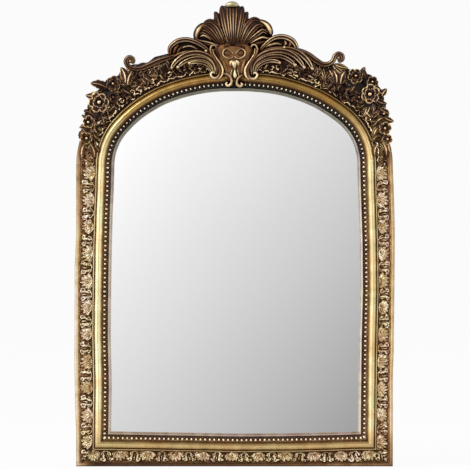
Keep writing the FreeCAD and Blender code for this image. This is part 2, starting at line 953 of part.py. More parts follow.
# Mouldings, each in four mitred or butted runs
run_makers = {
    "left": lambda section: side_run(section, -1),
    "right": lambda section: side_run(section, 1),
    "bottom": bottom_run,
    "arch": arch_run,
}
bead = Part.makeSphere(bead_radius)
palmette_cast = palmette()
frieze, torus_arch, sight_arch = {}, None, None
for run, maker in run_makers.items():
    strip = maker(sight_section)
    bed = timber_depth + bed_rise
    beads = [
        placed(bead, x, bed, z, turn) for x, z, turn in stations(run, bead_reach, bead_pitch, 0)
    ]
    keep_in = maker(
        [
            (slip_width, timber_depth),
            (slip_width, timber_depth + bead_radius * 2),
            (torus_reach, timber_depth + bead_radius * 2),
            (torus_reach, timber_depth),
        ]
    )
    beads = Part.makeCompound([b.common(keep_in) for b in beads])
    strip = strip.fuse(beads.Solids)
    export("bead_moulding_" + run, strip)
    torus = export("torus_moulding_" + run, maker(torus_section))
    frieze[run] = export("frieze_moulding_" + run, maker(frieze_section))
    if run == "arch":
        torus_arch, sight_arch = torus, strip

# Crest pieces, front ones first: each later piece is cut to the space that the earlier ones leave
sides = (("left", -1), ("right", 1))
arch_base = [
    made["arch_crown"],
    made["arch_haunch_left"],
    made["arch_haunch_right"],
    frieze["arch"],
    torus_arch,
    sight_arch,
    board,
]


def half_slab(shares, side, low, high, bevel):
    return slab([crest_point(share, side) for share in shares], low, high, bevel)


def whole_slab(shares, low, high, bevel):
    return slab(mirrored_points(shares), low, high, bevel)


def fan_grooves(shape, grooves, rise):
    root_share, first, last, count, length_share = grooves
    return fluted(shape, crest_point(root_share), first, last, count, length_share * crest_rise, rise)


# Plain shield behind the bow and pendant, with straight facets all round
def shield():
    points = [(p.x, p.z) for p in mirrored_points(cartouche_shares)]
    return prism(points, crest_board_thickness, cartouche_relief)


# Bellflower with a drop, hung in the middle of the cartouche
def pendant():
    top = crest_point(pendant_share)
    bell = domed_peg(pendant_radius, pendant_foot, pendant_relief - pendant_radius, pendant_relief)
    bell.translate(top)
    drop = leaf(pendant_length, pendant_radius, pendant_foot, pendant_relief)
    parts = []
    for lean in (-pendant_lean, pendant_lean):
        sepal = leaf(pendant_length * sepal_share, pendant_radius, pendant_foot, pendant_relief)
        parts.append(placed(sepal, top.x, 0, top.z, 180 + lean))
    parts.append(placed(drop, top.x, 0, top.z - pendant_radius, 180))
    return bell.fuse(parts)


def volute(side):
    eye = domed_peg(
        volute_radius_share * crest_half_span,
        crest_board_thickness,
        crest_relief - volute_radius_share * crest_half_span / 2,
        crest_relief,
    )
    eye.translate(crest_point(volute_share, side))
    return eye


def near(first, second):
    return first.BoundBox.intersect(second.BoundBox)


# What the earlier pieces leave of a shape, without the chips that are too small to be carved
def fitted(shape, taken):
    others = [other for other in taken if near(shape, other)]
    rest = shape.cut(others) if others else shape
    return [solid for solid in rest.Solids if solid.Volume > smallest_chip]


def flipped(solids):
    return [solid.mirror(Vector(0, 0, 0), Vector(1, 0, 0)) for solid in solids]


# The middle of the crest, then its right half; the left half is the right one mirrored
taken = list(arch_base)
bow = crest_scroll(
    bow_start_share, bow_heading, bow_turns_share, 1, small_scroll_half_width, scroll_foot, scroll_relief
)
lower = crest_scroll(
    lower_scroll_start_share,
    lower_scroll_heading,
    lower_scroll_turns_share,
    1,
    small_scroll_half_width,
    timber_depth,
    scroll_relief,
)
long_scroll = crest_scroll(
    s_scroll_start_share,
    s_scroll_heading,
    s_scroll_turns_share,
    1,
    scroll_half_width,
    scroll_foot,
    scroll_relief,
)
plume = whole_slab(plume_shares, crest_board_thickness, plume_relief, crest_bevel)
fan = half_slab(fan_shares, 1, crest_board_thickness, crest_relief, crest_bevel)
lobe = half_slab(shoulder_shares, 1, crest_board_thickness, crest_relief, crest_bevel)
fingers = [
    crest_scroll(start, heading, turns, 1, finger_half_width - k, crest_board_thickness, crest_relief - 2 * k)
    for k, (start, heading, turns) in enumerate(
        zip(finger_start_shares, finger_headings, finger_turns_shares)
    )
]
arm = half_slab(arm_shares, 1, crest_board_thickness, arm_relief, crest_bevel)
crest_order = [
    ("cartouche", shield(), False),
    ("pendant_drop", pendant(), False),
    ("bow_scroll", bow, True),
    ("lower_scrolls", lower, True),
    ("s_scroll", long_scroll, True),
    (
        "plume_tip",
        whole_slab(plume_tip_shares, crest_board_thickness, plume_tip_relief, crest_bevel / 2),
        False,
    ),
    ("plume", fan_grooves(plume, plume_grooves, plume_relief), False),
    ("fan", fan_grooves(fan, lobe_grooves, crest_relief), True),
    ("shoulder", fan_grooves(lobe, shoulder_grooves, crest_relief), True),
    ("acanthus", fingers[0].fuse(fingers[1:]), True),
    ("volute_arm", arm.fuse(volute(1)), True),
]
together = ("bow_scroll", "lower_scrolls")
for name, shape, paired in crest_order:
    solids = fitted(shape, taken)
    taken += solids
    if not paired:
        export(name, Part.makeCompound(solids))
        continue
    others = flipped(solids)
    taken += others
    if name in together:
        export(name, Part.makeCompound(solids + others))
    else:
        export(name + "_right", Part.makeCompound(solids))
        export(name + "_left", Part.makeCompound(others))

# Flower sprays over the haunches
for name in ("left", "right"):
    taken += [made[kind + name] for kind in ("stile_", "frieze_moulding_", "torus_moulding_")]
for name, side, flower_shares, leaf_shares in (
    ("left", -1, left_flower_shares, left_leaf_shares),
    ("right", 1, right_flower_shares, right_leaf_shares),
):
    flowers, leaves = spray(side, flower_shares, leaf_shares)
    for part_name, shapes in (("spray_flowers_", flowers), ("spray_leaves_", leaves)):
        kept = []
        for shape in shapes:
            solids = fitted(shape, taken)
            kept += solids
            taken += solids
        export(part_name + name, Part.makeCompound(kept))

# Ornament pieces of a running pattern that the crest and sprays leave room for
def clear_ones(shapes):
    clear = []
    for shape in shapes:
        others = [other for other in taken if near(shape, other)]
        overlap = sum(shape.common(other).Volume for other in others)
        if overlap < smallest_chip / 100:
            clear.append(shape)
    return clear


# Running leaf ornament of the frieze: each fan's root is at the frieze's outer edge
root_reach = rim_reach - palmette_boss_radius
for run in ("left", "right", "bottom"):
    fans = [
        placed(palmette_cast, x, timber_depth + ground_rise, z, turn + 180)
        for x, z, turn in stations(run, root_reach, palmette_pitch, palmette_end_gap)
    ]
    export("frieze_leaves_" + run, Part.makeCompound(clear_ones(fans)))

# Small leaves along the inner edge of the arch's frieze
arch_leaf = leaf(arch_leaf_length, palmette_leaf_width, 0, palmette_thickness)
arch_leaves = [
    placed(arch_leaf, x, timber_depth + ground_rise, z, turn)
    for x, z, turn in stations("arch", ground_reach, arch_leaf_pitch, arch_leaf_pitch)
]
export("frieze_leaves_arch", Part.makeCompound(clear_ones(arch_leaves)))
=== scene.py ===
import bpy
import bmesh
import math
import numpy as np
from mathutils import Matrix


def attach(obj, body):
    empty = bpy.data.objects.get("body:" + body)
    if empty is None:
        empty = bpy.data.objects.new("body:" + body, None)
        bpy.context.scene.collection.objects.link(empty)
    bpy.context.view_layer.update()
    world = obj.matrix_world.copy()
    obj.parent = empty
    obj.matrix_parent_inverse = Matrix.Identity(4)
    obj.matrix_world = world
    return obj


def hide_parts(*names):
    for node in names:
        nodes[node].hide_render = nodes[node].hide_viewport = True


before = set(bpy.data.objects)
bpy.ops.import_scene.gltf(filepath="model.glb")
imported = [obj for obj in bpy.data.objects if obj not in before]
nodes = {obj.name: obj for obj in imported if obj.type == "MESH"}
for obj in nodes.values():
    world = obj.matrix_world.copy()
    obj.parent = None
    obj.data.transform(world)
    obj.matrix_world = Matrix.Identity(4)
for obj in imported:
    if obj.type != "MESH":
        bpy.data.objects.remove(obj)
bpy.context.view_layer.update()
print("frame loaded:", len(nodes), "nodes")

# Shapes are worked out in millimetres: x to the right, z up from the bottom edge, rise forward from the wall.
milli = 0.001
rootBody = "frame"
runNames = ("left", "right", "bottom", "arch")
bothSides = ("left", "right")

sight = {
    "halfWidth": 250.0,
    "bottom": 68.0,
    "spring": 604.0,
    "top": 760.0,
    "haunchRadius": 110.0,
    "timberFront": 20.0,
}
haunchX = sight["halfWidth"] - sight["haunchRadius"]
archRise = sight["top"] - sight["spring"]
sight["crownRadius"] = (haunchX**2 + archRise**2 - sight["haunchRadius"] ** 2) / (
    2 * (archRise - sight["haunchRadius"])
)
crownZ = sight["top"] - sight["crownRadius"]
crownHalf = math.atan2(haunchX, sight["spring"] - crownZ)
sideRun = sight["spring"] - sight["bottom"]
archRun = 2 * (sight["haunchRadius"] * (math.pi / 2 - crownHalf) + sight["crownRadius"] * crownHalf)
roundRun = 2 * sideRun + 2 * sight["halfWidth"] + archRun

# The gilt mouldings were run by hand and bow out of line. Rows give the distance round the sight edge, from the
# left spring down and round, and how far outward the mouldings lie there.
handBow = [
    (0, -6.5), (50, -5.2), (100, -3), (160, -1.5), (250, 0), (345, 0.8), (440, -1.4), (536, 0),
    (640, 1.8), (800, 4.5), (900, 3.6), (980, 1.8), (1036, 0), (1130, 0.8), (1230, 2.2), (1320, 4.5),
    (1420, 3.6), (1515, 0.5), (1572, -1.0), (1635, 0.8), (1729, 2.5), (1800, 0), (1850, -3),
    (1896, -4.4), (1992, -2), (2040, -1), (2088, -3.2), (2130, -7.2), (2218, -6.5),
]
rimBow = [
    (0, 0), (134, 0), (158, 0.8), (182, 2), (206, 3), (300, 3), (400, 3.4), (490, 2), (536, 0), (1036, 0),
    (1150, 0), (1200, 1.8), (1320, 3.2), (1440, 4), (1490, 3), (1534, 1.4), (1572, 0), (2218, 0),
]
bowFade = (40, 67)  # reaches between which the bow of the torus passes over to that of the rim


# Outward shift at a distance round the edge: straight between the rows, that of the mouldings up to the torus
# and passing over to that of the rim
def bowAt(gone, reach):
    within, beyond = (np.interp(gone, *np.array(rows, float).T) for rows in (handBow, rimBow))
    share = smoothStep(reach, *bowFade)
    return within * (1 - share) + beyond * share


# Smooth line through rows of numbers whose first two are x and z: a cubic between neighbours, with slopes
# taken from the rows on both sides. The points crowd a little towards the ends.
def throughRows(rows, count, crowd=0.35):
    rows = np.asarray(rows, float)
    gaps = np.hypot(*(rows[1:, :2] - rows[:-1, :2]).T)
    knots = np.concatenate([[0], np.cumsum(gaps)])
    slopes = np.gradient(rows, knots, axis=0)
    share = np.linspace(0, 1, count)
    share = (1 - crowd) * share + crowd * (0.5 - 0.5 * np.cos(np.pi * share))
    at = share * knots[-1]
    k = np.clip(np.searchsorted(knots, at, "right") - 1, 0, len(rows) - 2)
    span = (knots[k + 1] - knots[k])[:, None]
    s = (at - knots[k])[:, None] / span
    return (
        (2 * s**3 - 3 * s**2 + 1) * rows[k]
        + (s**3 - 2 * s**2 + s) * span * slopes[k]
        + (3 * s**2 - 2 * s**3) * rows[k + 1]
        + (s**3 - s**2) * span * slopes[k + 1]
    )


# Soft noise from -1 to 1: random heights on a square lattice, blended by a smooth step between its corners
def softNoise(a, b, size, seed, cells=64):
    lattice = np.random.default_rng(seed).uniform(-1, 1, (cells, cells))
    p, q = a / size, b / size
    i, j = np.floor(p).astype(int), np.floor(q).astype(int)
    f, g = p - i, q - j
    f, g = f * f * (3 - 2 * f), g * g * (3 - 2 * g)
    i, j, nextI, nextJ = i % cells, j % cells, (i + 1) % cells, (j + 1) % cells
    near = lattice[i, j] * (1 - f) + lattice[nextI, j] * f
    far = lattice[i, nextJ] * (1 - f) + lattice[nextI, nextJ] * f
    return near * (1 - g) + far * g


# A ridge across a line: 1 on it, falling to 0 at the given distance as the top of a circle does
def ridge(distance, width):
    return np.sqrt(np.clip(1 - (distance / width) ** 2, 0, 1))


# From 0 at low to 1 at high, by 3s^2 - 2s^3 of the share s between them
def smoothStep(value, low, high):
    s = np.clip((value - low) / (high - low), 0, 1)
    return s * s * (3 - 2 * s)


# Grid of points as a skin of four-sided faces. The columns close round. The rows close round as well, or the
# end rows draw to a point, or they take a flat cap.
def gridSkin(x, z, rise, patinaAndLight, ends="point"):
    rows, columns = x.shape
    points = np.stack([x, -rise, z], -1).reshape(-1, 3)
    value = np.broadcast_to(patinaAndLight, x.shape).reshape(-1)
    index = np.arange(rows * columns).reshape(rows, columns)
    if ends == "round":
        here, there = index, np.roll(index, -1, 0)
    else:
        here, there = index[:-1], index[1:]
    quads = np.stack([here, np.roll(here, -1, 1), np.roll(there, -1, 1), there], -1).reshape(-1, 4)
    faces = [quads]
    caps = []
    if ends == "point":
        tips = np.stack([points[index[0]].mean(0), points[index[-1]].mean(0)])
        tipValue = np.array([value[index[0]].mean(), value[index[-1]].mean()])
        n = len(points)
        points, value = np.concatenate([points, tips]), np.concatenate([value, tipValue])
        for tip, row, turn in ((n, index[0], 1), (n + 1, index[-1], -1)):
            ring = row[::turn]
            faces.append(np.stack([np.full(columns, tip), np.roll(ring, -1), ring], -1))
    elif ends == "cap":
        caps = [index[0][::-1], index[-1]]
    return {"points": points, "patinaAndLight": value, "faces": faces, "caps": caps}


# The same grid with a wall from both long edges down to the base, where the patina and light value is 0
def walledSkin(x, z, rise, lit, base, ends="point"):
    foot = np.full((len(x), 1), float(base))
    x, z = (np.concatenate([grid[:, :1], grid, grid[:, -1:]], 1) for grid in (x, z))
    rise = np.concatenate([foot, rise, foot], 1)
    lit = np.concatenate([foot * 0, lit, foot * 0], 1)
    return gridSkin(x, z, rise, lit, ends)


# One mesh object from many skins, with the patina and painted light kept as an attribute that the gilt follows
def pieceOf(name, skins, material, replaced, sharp=50.0):
    shift, points, patinaAndLight, faces = 0, [], [], []
    for skin in skins:
        points.append(skin["points"])
        patinaAndLight.append(skin["patinaAndLight"])
        for block in skin["faces"]:
            faces += (block + shift).tolist()
        faces += [(cap + shift).tolist() for cap in skin["caps"]]
        shift += len(skin["points"])
    mesh = bpy.data.meshes.new(name)
    mesh.from_pydata((np.concatenate(points) * milli).tolist(), [], faces)
    kept = mesh.attributes.new("patinaAndLight", "FLOAT", "POINT")
    kept.data.foreach_set("value", np.concatenate(patinaAndLight).astype(np.float32))
    work = bmesh.new()
    work.from_mesh(mesh)
    bmesh.ops.recalc_face_normals(work, faces=work.faces[:])
    work.to_mesh(mesh)
    work.free()
    mesh.polygons.foreach_set("use_smooth", np.ones(len(mesh.polygons), bool))
    mesh.set_sharp_from_angle(angle=math.radians(sharp))
    mesh.update()
    piece = bpy.data.objects.new(name, mesh)
    bpy.context.scene.collection.objects.link(piece)
    mesh.materials.append(material)
    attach(piece, rootBody)
    if replaced:
        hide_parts(*replaced)


carving = {
    "leastHalf": 0.3,
    "edgeDrop": 0.95,  # height of the rounded edge, in half widths
    "scalloped": (0.82, 0.18),  # steady and waved shares of a scalloped width
    "roundLight": (0.2, 0.8),  # foot and what the top adds
    "flutedLight": (0.12, 0.24, 0.62),  # hollow, and what slopes and crests add
    "veins": 6,
    "veinSlant": 1.5,
    "ribWidth": 0.13,
    "leafRim": (0.72, 0.92),
    "leafLight": (0.04, 0.28, 0.9, 0.95),  # ground, and what veins, rib and rim add
    "petalRim": (0.55, 0.9),
    "petalTip": (0.75, 0.95),
    "petalLight": (0.04, 0.14, 0.82),  # hollow, and what its outer part and the rim add
}


# Raised carving along a line of rows (x, z, half width, rise, tone). Across it a quarter round drops at each
# edge and a wall goes down to the base. Evenly spaced grooves run along it. The width closes in a half
# circle at both ends. The value it gives the gilt is the rubbed patina together with painted light and shade:
# brightest along the top and on the crests of the grooves, dark at the edges and in the grooves; tone scales it
# along the line. The leaf form has slanting veins, a raised rib and a rim painted as a highlight; the petal form
# is cupped, with its rim and tip painted as highlights. Scallops draw the width in by a sine along it.
def lobe(rows, base, flutes=0, groove=1.3, form="round", grain=(34, 19), scallops=0, cup=0.0):
    rows = [tuple(row) + (1.0,) * (5 - len(row)) for row in rows]
    x, z, half, top, tone = throughRows(rows, grain[0]).T
    half = np.maximum(half, carving["leastHalf"])
    stepX, stepZ = np.gradient(x), np.gradient(z)
    length = np.hypot(stepX, stepZ) + 1e-9
    sideX, sideZ = stepZ / length, -stepX / length
    gone = np.concatenate([[0], np.cumsum(np.hypot(np.diff(x), np.diff(z)))])
    share = (gone / gone[-1])[:, None]
    fromEnd = np.minimum(gone / max(half[0], 1), (gone[-1] - gone) / max(half[-1], 1))
    closing = np.sqrt(np.clip(1 - (1 - np.clip(fromEnd, 0, 1)) ** 2, 0, 1))[:, None]
    width = half[:, None] * np.maximum(closing, 0.04)
    if scallops:
        steady, waved = carving["scalloped"]
        width = width * (steady + waved * np.abs(np.sin(np.pi * scallops * share)))
    t = np.linspace(-1, 1, grain[1])[None, :]
    t = 0.6 * t + 0.4 * np.sin(np.pi / 2 * t)
    dome = np.minimum(top - base, carving["edgeDrop"] * half)[:, None]
    spread = closing * np.sqrt(np.clip(1 - t**2, 0, 1))
    deep = np.minimum(1, half / 4)[:, None] * groove
    low, added = carving["roundLight"]
    lit = low + added * spread
    height = top[:, None] - dome * (1 - spread)
    if flutes:
        wave = np.abs(np.sin(np.pi * (t + 1) / 2 * flutes)) ** 0.8
        height = height - deep * (1 - wave)
        hollow, slope, crest = carving["flutedLight"]
        lit = hollow + slope * wave**1.4 + crest * wave**6
        lit = lit * (0.4 + 0.6 * spread) * smoothStep(spread, 0.0, 0.45)
    if form == "leaf":
        vein = np.abs(np.sin(np.pi * (carving["veins"] * share - carving["veinSlant"] * np.abs(t)))) ** 0.7
        rib = np.exp(-((t / carving["ribWidth"]) ** 2))
        rim = smoothStep(np.abs(t), *carving["leafRim"])
        height = height - deep * (0.6 * (1 - vein) * (1 - rib)) + deep * 0.5 * rib
        ground, veined, ribbed, rimmed = carving["leafLight"]
        lit = ground + veined * vein * (1 - rim) + ribbed * rib * closing + rimmed * rim
    if form == "petal":
        rim = smoothStep(np.abs(t), *carving["petalRim"]) * smoothStep(share, 0.25, 0.6)
        tip = smoothStep(share, *carving["petalTip"])
        height = height - cup * (1 - t**2) * (1 - tip)
        hollow, outer, edge = carving["petalLight"]
        lit = hollow + outer * smoothStep(share, 0.1, 0.7) + edge * np.maximum(rim, tip)
    across = width * t
    gridX, gridZ = x[:, None] + sideX[:, None] * across, z[:, None] + sideZ[:, None] * across
    lit = np.broadcast_to(lit * tone[:, None], across.shape)
    return walledSkin(gridX, gridZ, np.maximum(height, base + 0.2), lit, base)


# Cushion-topped ground inside a smooth closed outline: the outline drawn in towards a centre in rings, rising
# as a flattened dome
def pillow(centre, outline, base, top, dome=5.0, lit=0.26, grain=(12, 72)):
    rows = np.asarray(outline + outline[:3], float)
    line = throughRows(rows, 4 * grain[1], 0.0)
    start = np.argmin(np.hypot(*(line[: len(line) // 3, :2] - rows[1]).T))
    finish = len(line) // 2 + np.argmin(np.hypot(*(line[len(line) // 2 :, :2] - rows[-2]).T))
    picked = line[np.linspace(start, finish, grain[1] + 1).astype(int)[:-1]]
    ring = np.linspace(1, 0.04, grain[0])[:, None]
    x = centre[0] + (picked[:, 0] - centre[0])[None, :] * ring
    z = centre[1] + (picked[:, 1] - centre[1])[None, :] * ring
    rise = top - dome * (1 - np.sqrt(np.clip(1 - ring**4, 0, 1))) + 0 * x
    x, z = np.concatenate([x[:1], x]), np.concatenate([z[:1], z])
    rise = np.concatenate([np.full((1, grain[1]), float(base)), rise])
    return gridSkin(x, z, rise, np.full(x.shape, lit))


# Round boss: rings of a ball's top over a wall down to the base, lit more towards its middle
def boss(x, z, radius, base, top, lit, grain=(7, 18)):
    turn = np.linspace(0, 2 * np.pi, grain[1], endpoint=False)[None, :]
    ring = np.cos(np.linspace(0, np.pi / 2 * 0.96, grain[0]))[:, None]
    height = top - radius * (1 - np.sqrt(1 - ring**2 * 0.98))
    gx, gz = x + radius * ring * np.cos(turn), z + radius * ring * np.sin(turn)
    gx, gz = np.concatenate([gx[:1], gx]), np.concatenate([gz[:1], gz])
    height = np.concatenate([np.full((1, grain[1]), float(base)), height + 0 * turn])
    glow = np.concatenate([[[0.0]], 0.25 + 0.75 * (1 - ring**2)]) * lit + 0 * turn
    return gridSkin(gx, gz, height, glow)


# Flower: cupped petals set round a boss, each with its rim painted as a pale highlight
def flower(x, z, radius, top, petals, turn, tone, base, inner):
    skins = []
    for layer, (size, count, lift) in enumerate([(1.0, petals, 0.0)] + [(0.62, inner, 2.0)] * (inner > 0)):
        for k in range(count):
            angle = turn + (k + 0.5 * layer) * 2 * math.pi / count
            wobble = 1 + 0.08 * math.sin(7 * k + x)
            reach = radius * size * wobble
            rows = [
                (
                    x + math.sin(angle) * reach * far,
                    z + math.cos(angle) * reach * far,
                    reach * wide * 5 / count,
                    top + lift - drop,
                    tone,
                )
                for far, wide, drop in ((0.12, 0.2, 5.0), (0.42, 0.38, 2.5), (0.72, 0.47, 1.0), (0.97, 0.34, 2.0))
            ]
            skins.append(lobe(rows, base + layer, form="petal", cup=2.4 * size, grain=(16, 13)))
    skins.append(boss(x, z, radius * 0.2, base, top + 1.5 * (inner > 0), tone))
    return skins


# Single leaf from its foot to its tip, bent sideways by a share of its length
def leaf(x0, z0, x1, z1, half, top, base, bend, tone, scallops=4, flutes=0):
    ways = np.array([x1 - x0, z1 - z0])
    aside = np.array([ways[1], -ways[0]]) * bend
    rows = []
    for share, wide, drop in ((0, 0.3, 3.5), (0.25, 0.85, 1.2), (0.5, 1.0, 0), (0.78, 0.72, 0.6), (1, 0.14, 3.0)):
        x, z = np.array([x0, z0]) + ways * share + aside * 4 * share * (1 - share)
        rows.append((x, z, half * wide, top - drop, tone))
    if flutes:
        return lobe(rows, base, flutes, 1.6, grain=(26, 6 * flutes + 1))
    return lobe(rows, base, form="leaf", grain=(22, 15), scallops=scallops)


# Colour given as on a screen, 0 to 255, as the linear values that a shader takes
def linear(colour):
    return tuple(((c / 255 + 0.055) / 1.055) ** 2.4 if c > 10 else c / 255 / 12.92 for c in colour) + (1,)


# Small helper for node trees: adds a node, sets its plain values and joins its inputs
def addNode(tree, kind, values=None, links=None, **settings):
    node = tree.nodes.new(kind)
    for key, value in settings.items():
        setattr(node, key, value)
    for key, value in (values or {}).items():
        node.inputs[key].default_value = value
    for key, socket in (links or {}).items():
        tree.links.new(socket, node.inputs[key])
    return node


# A socket takes another node's output or a plain value
def feed(tree, socket, value):
    if hasattr(value, "is_linked"):
        tree.links.new(value, socket)
    else:
        socket.default_value = value


# Colours by place from 0 to 1
def rampNode(tree, fac, stops):
    node = addNode(tree, "ShaderNodeValToRGB", links={"Fac": fac})
    band = node.color_ramp
    while len(band.elements) > 1:
        band.elements.remove(band.elements[-1])
    band.elements[0].position, band.elements[0].color = stops[0][0], linear(stops[0][1])
    for place, colour in stops[1:]:
        band.elements.new(place).color = linear(colour)
    return node.outputs["Color"]


# Two colours mixed by a share, or multiplied by it
def blended(tree, fac, first, second, mode="MIX"):
    node = addNode(tree, "ShaderNodeMix", data_type="RGBA", blend_type=mode)
    for index, value in ((0, fac), (6, first), (7, second)):
        feed(tree, node.inputs[index], value)
    return node.outputs[2]


# One sum on two values, held between 0 and 1 where clamp is set
def mathNode(tree, operation, first, second, clamp=False):
    node = addNode(tree, "ShaderNodeMath", operation=operation, use_clamp=clamp)
    feed(tree, node.inputs[0], first)
    feed(tree, node.inputs[1], second)
    return node.outputs[0]


# Noise from 0 to 1 over the piece, finer as the scale grows
def noiseNode(tree, place, scale, detail, **more):
    values = {"Scale": scale, "Detail": detail, **more}
    return addNode(tree, "ShaderNodeTexNoise", values, {"Vector": place}).outputs["Fac"]


# Value carried from one range to another and held at its ends
def mapped(tree, value, low=0.0, high=1.0, toLow=0.0, toHigh=1.0):
    values = {"From Min": low, "From Max": high, "To Min": toLow, "To Max": toHigh}
    return addNode(tree, "ShaderNodeMapRange", values, {"Value": value}).outputs["Result"]


# Fine dents in the surface, after a value that stands for their height
def dent(tree, shader, height, strength, distance):
    dents = addNode(tree, "ShaderNodeBump", {"Strength": strength, "Distance": distance}, {"Height": height})
    tree.links.new(dents.outputs[0], shader.inputs["Normal"])


# Empty material with a Principled shader; gives the material, its tree, the shader and the object's own places
def freshMaterial(name):
    material = bpy.data.materials.new(name)
    material.use_nodes = True
    tree = material.node_tree
    tree.nodes.clear()
    shader = tree.nodes.new("ShaderNodeBsdfPrincipled")
    out = tree.nodes.new("ShaderNodeOutputMaterial")
    tree.links.new(shader.outputs[0], out.inputs[0])
    place = tree.nodes.new("ShaderNodeTexCoord").outputs["Object"]
    return material, tree, shader, place


# Antique gilding. The colours run from champagne lower on the frame to dark bronze high on the arch. The patina
# and light attribute, roughened by noise, runs from the brown of the hollows to the rubbed gold of the ridges,
# and also carries painted highlights on ridges, rims and crests and painted shade along the carving.
gildings = {
    "champagne": [(0.0, (58, 32, 16)), (0.3, (128, 92, 54)), (0.6, (204, 176, 130)), (1.0, (255, 252, 234))],
    "bronze": [(0.0, (14, 5, 2)), (0.3, (50, 23, 11)), (0.6, (122, 80, 46)), (1.0, (252, 232, 194))],
    "old": [(0.0, (38, 18, 6)), (0.3, (104, 70, 34)), (0.6, (178, 140, 90)), (1.0, (255, 240, 200))],
}
patina = {
    "broadScale": 42.0,
    "fineScale": 260.0,
    "castScale": 24.0,
    "castRange": (0.38, 0.62),
    "heightDrift": 0.12,
    # Ambient occlusion darkens the gilding in the hollows over this distance: painted shade, tinted as soil
    "soilShadeDistance": 0.007,
    "soilShadeRange": (0.25, 0.85),
    "soilShadeDepth": (0.3, 1.0, 1.0, 0.25),  # how far the soil and painted shade show, by the patina and light value
    "roughBelow": 0.18,
    "smoothAbove": 0.06,
    "dentDepth": 0.0006,
}


# One gilt finish. Noise roughens the patina and light value before it picks a colour between low and high, by
# the height fade. Rows of foot (start, end, share) bring high back near the floor, as painted shade on the bottom
# edge. Ambient occlusion darkens the hollows, most where the value is low: painted shade, tinted as soil.
def giltMaterial(
    name, low, high, fade=(0.8, 0.9), patinaAndLight=None, mottle=0.3, rough=0.36, metal=0.6, bump=0.25,
    soilAndShade=(96, 64, 46), foot=(), cast=((255, 244, 242), (254, 250, 228)),
):
    material, tree, shader, place = freshMaterial(name)
    broad = noiseNode(tree, place, patina["broadScale"], 3.0)
    fine = noiseNode(tree, place, patina["fineScale"], 2.0, Roughness=0.7)
    if patinaAndLight is None:
        patinaAndLight = addNode(tree, "ShaderNodeAttribute", attribute_name="patinaAndLight").outputs["Fac"]
    stray = mathNode(tree, "SUBTRACT", mathNode(tree, "ADD", broad, fine), 1.0)
    shown = mathNode(tree, "ADD", patinaAndLight, mathNode(tree, "MULTIPLY", stray, mottle), True)
    height = addNode(tree, "ShaderNodeSeparateXYZ", links={"Vector": place}).outputs["Z"]
    drift = mathNode(tree, "MULTIPLY", mathNode(tree, "SUBTRACT", broad, 0.5), patina["heightDrift"])
    climb = mapped(tree, mathNode(tree, "ADD", height, drift), *fade)
    for start, end, share in foot:
        climb = mathNode(tree, "MAXIMUM", climb, mapped(tree, height, start, end, 0.0, share))
    colour = blended(tree, climb, rampNode(tree, shown, low), rampNode(tree, shown, high))
    tint = rampNode(tree, noiseNode(tree, place, patina["castScale"], 2.0), list(zip(patina["castRange"], cast)))
    colour = blended(tree, 1.0, colour, tint, "MULTIPLY")
    # Painted shade in the hollows: ambient occlusion darkens the colour towards a soil tint
    hollow = addNode(
        tree, "ShaderNodeAmbientOcclusion", {"Distance": patina["soilShadeDistance"]}, samples=4, only_local=False
    ).outputs["AO"]
    shadedSoil = rampNode(tree, mapped(tree, hollow, *patina["soilShadeRange"]), [(0.0, soilAndShade), (1.0, (255, 255, 255))])
    depth = mapped(tree, shown, *patina["soilShadeDepth"])
    tree.links.new(blended(tree, depth, colour, shadedSoil, "MULTIPLY"), shader.inputs["Base Color"])
    worn = mapped(tree, shown, 0.0, 1.0, rough + patina["roughBelow"], rough - patina["smoothAbove"])
    tree.links.new(worn, shader.inputs["Roughness"])
    shader.inputs["Metallic"].default_value = metal
    dent(tree, shader, fine, bump, patina["dentDepth"])
    return material


champagne, bronze = gildings["champagne"], gildings["bronze"]
bottomShade = (0.066, 0.046)  # heights between which painted shade darkens the gilding towards the bottom edge
# Soil tint of the painted shade in the hollows, for the paler gilding
paleSoilShade = (176, 138, 104)
carvedGilt = giltMaterial(
    "carvedGilt", champagne, bronze, (0.60, 0.70), soilAndShade=paleSoilShade, foot=[(*bottomShade, 0.35)]
)
tipStops = [(0.0, (56, 42, 24)), (0.5, (140, 126, 96)), (1.0, (228, 220, 194))]
tipGilt = giltMaterial("tipGilt", tipStops, tipStops)
crestCast = ((247, 235, 226), (255, 247, 220))
crestGilt = giltMaterial("crestGilt", bronze, bronze, soilAndShade=(80, 50, 34), cast=crestCast)
sprayGilt = giltMaterial(
    "sprayGilt", gildings["old"], bronze, (0.62, 0.72), mottle=0.6, soilAndShade=(70, 46, 32), cast=crestCast
)
plateStops = [(0.0, (40, 18, 6)), (0.35, (104, 66, 34)), (0.65, (158, 118, 70)), (1.0, (246, 222, 178))]
plateGilt = giltMaterial("plateGilt", plateStops, plateStops, mottle=0.5, cast=crestCast)
torusStops = {
    "low": [(0.0, (84, 52, 22)), (0.35, (158, 126, 76)), (0.7, (228, 210, 168)), (1.0, (255, 247, 216))],
    "high": [(0.0, (52, 24, 10)), (0.35, (118, 80, 40)), (0.7, (176, 138, 76)), (1.0, (216, 186, 122))],
}
torusGilt = giltMaterial(
    "torusGilt", torusStops["low"], torusStops["high"], (0.62, 0.72), rough=0.3, metal=0.65, bump=0.16,
    soilAndShade=(150, 112, 76), foot=[(*bottomShade, 0.5)], cast=((254, 240, 216), (248, 252, 236)),
)
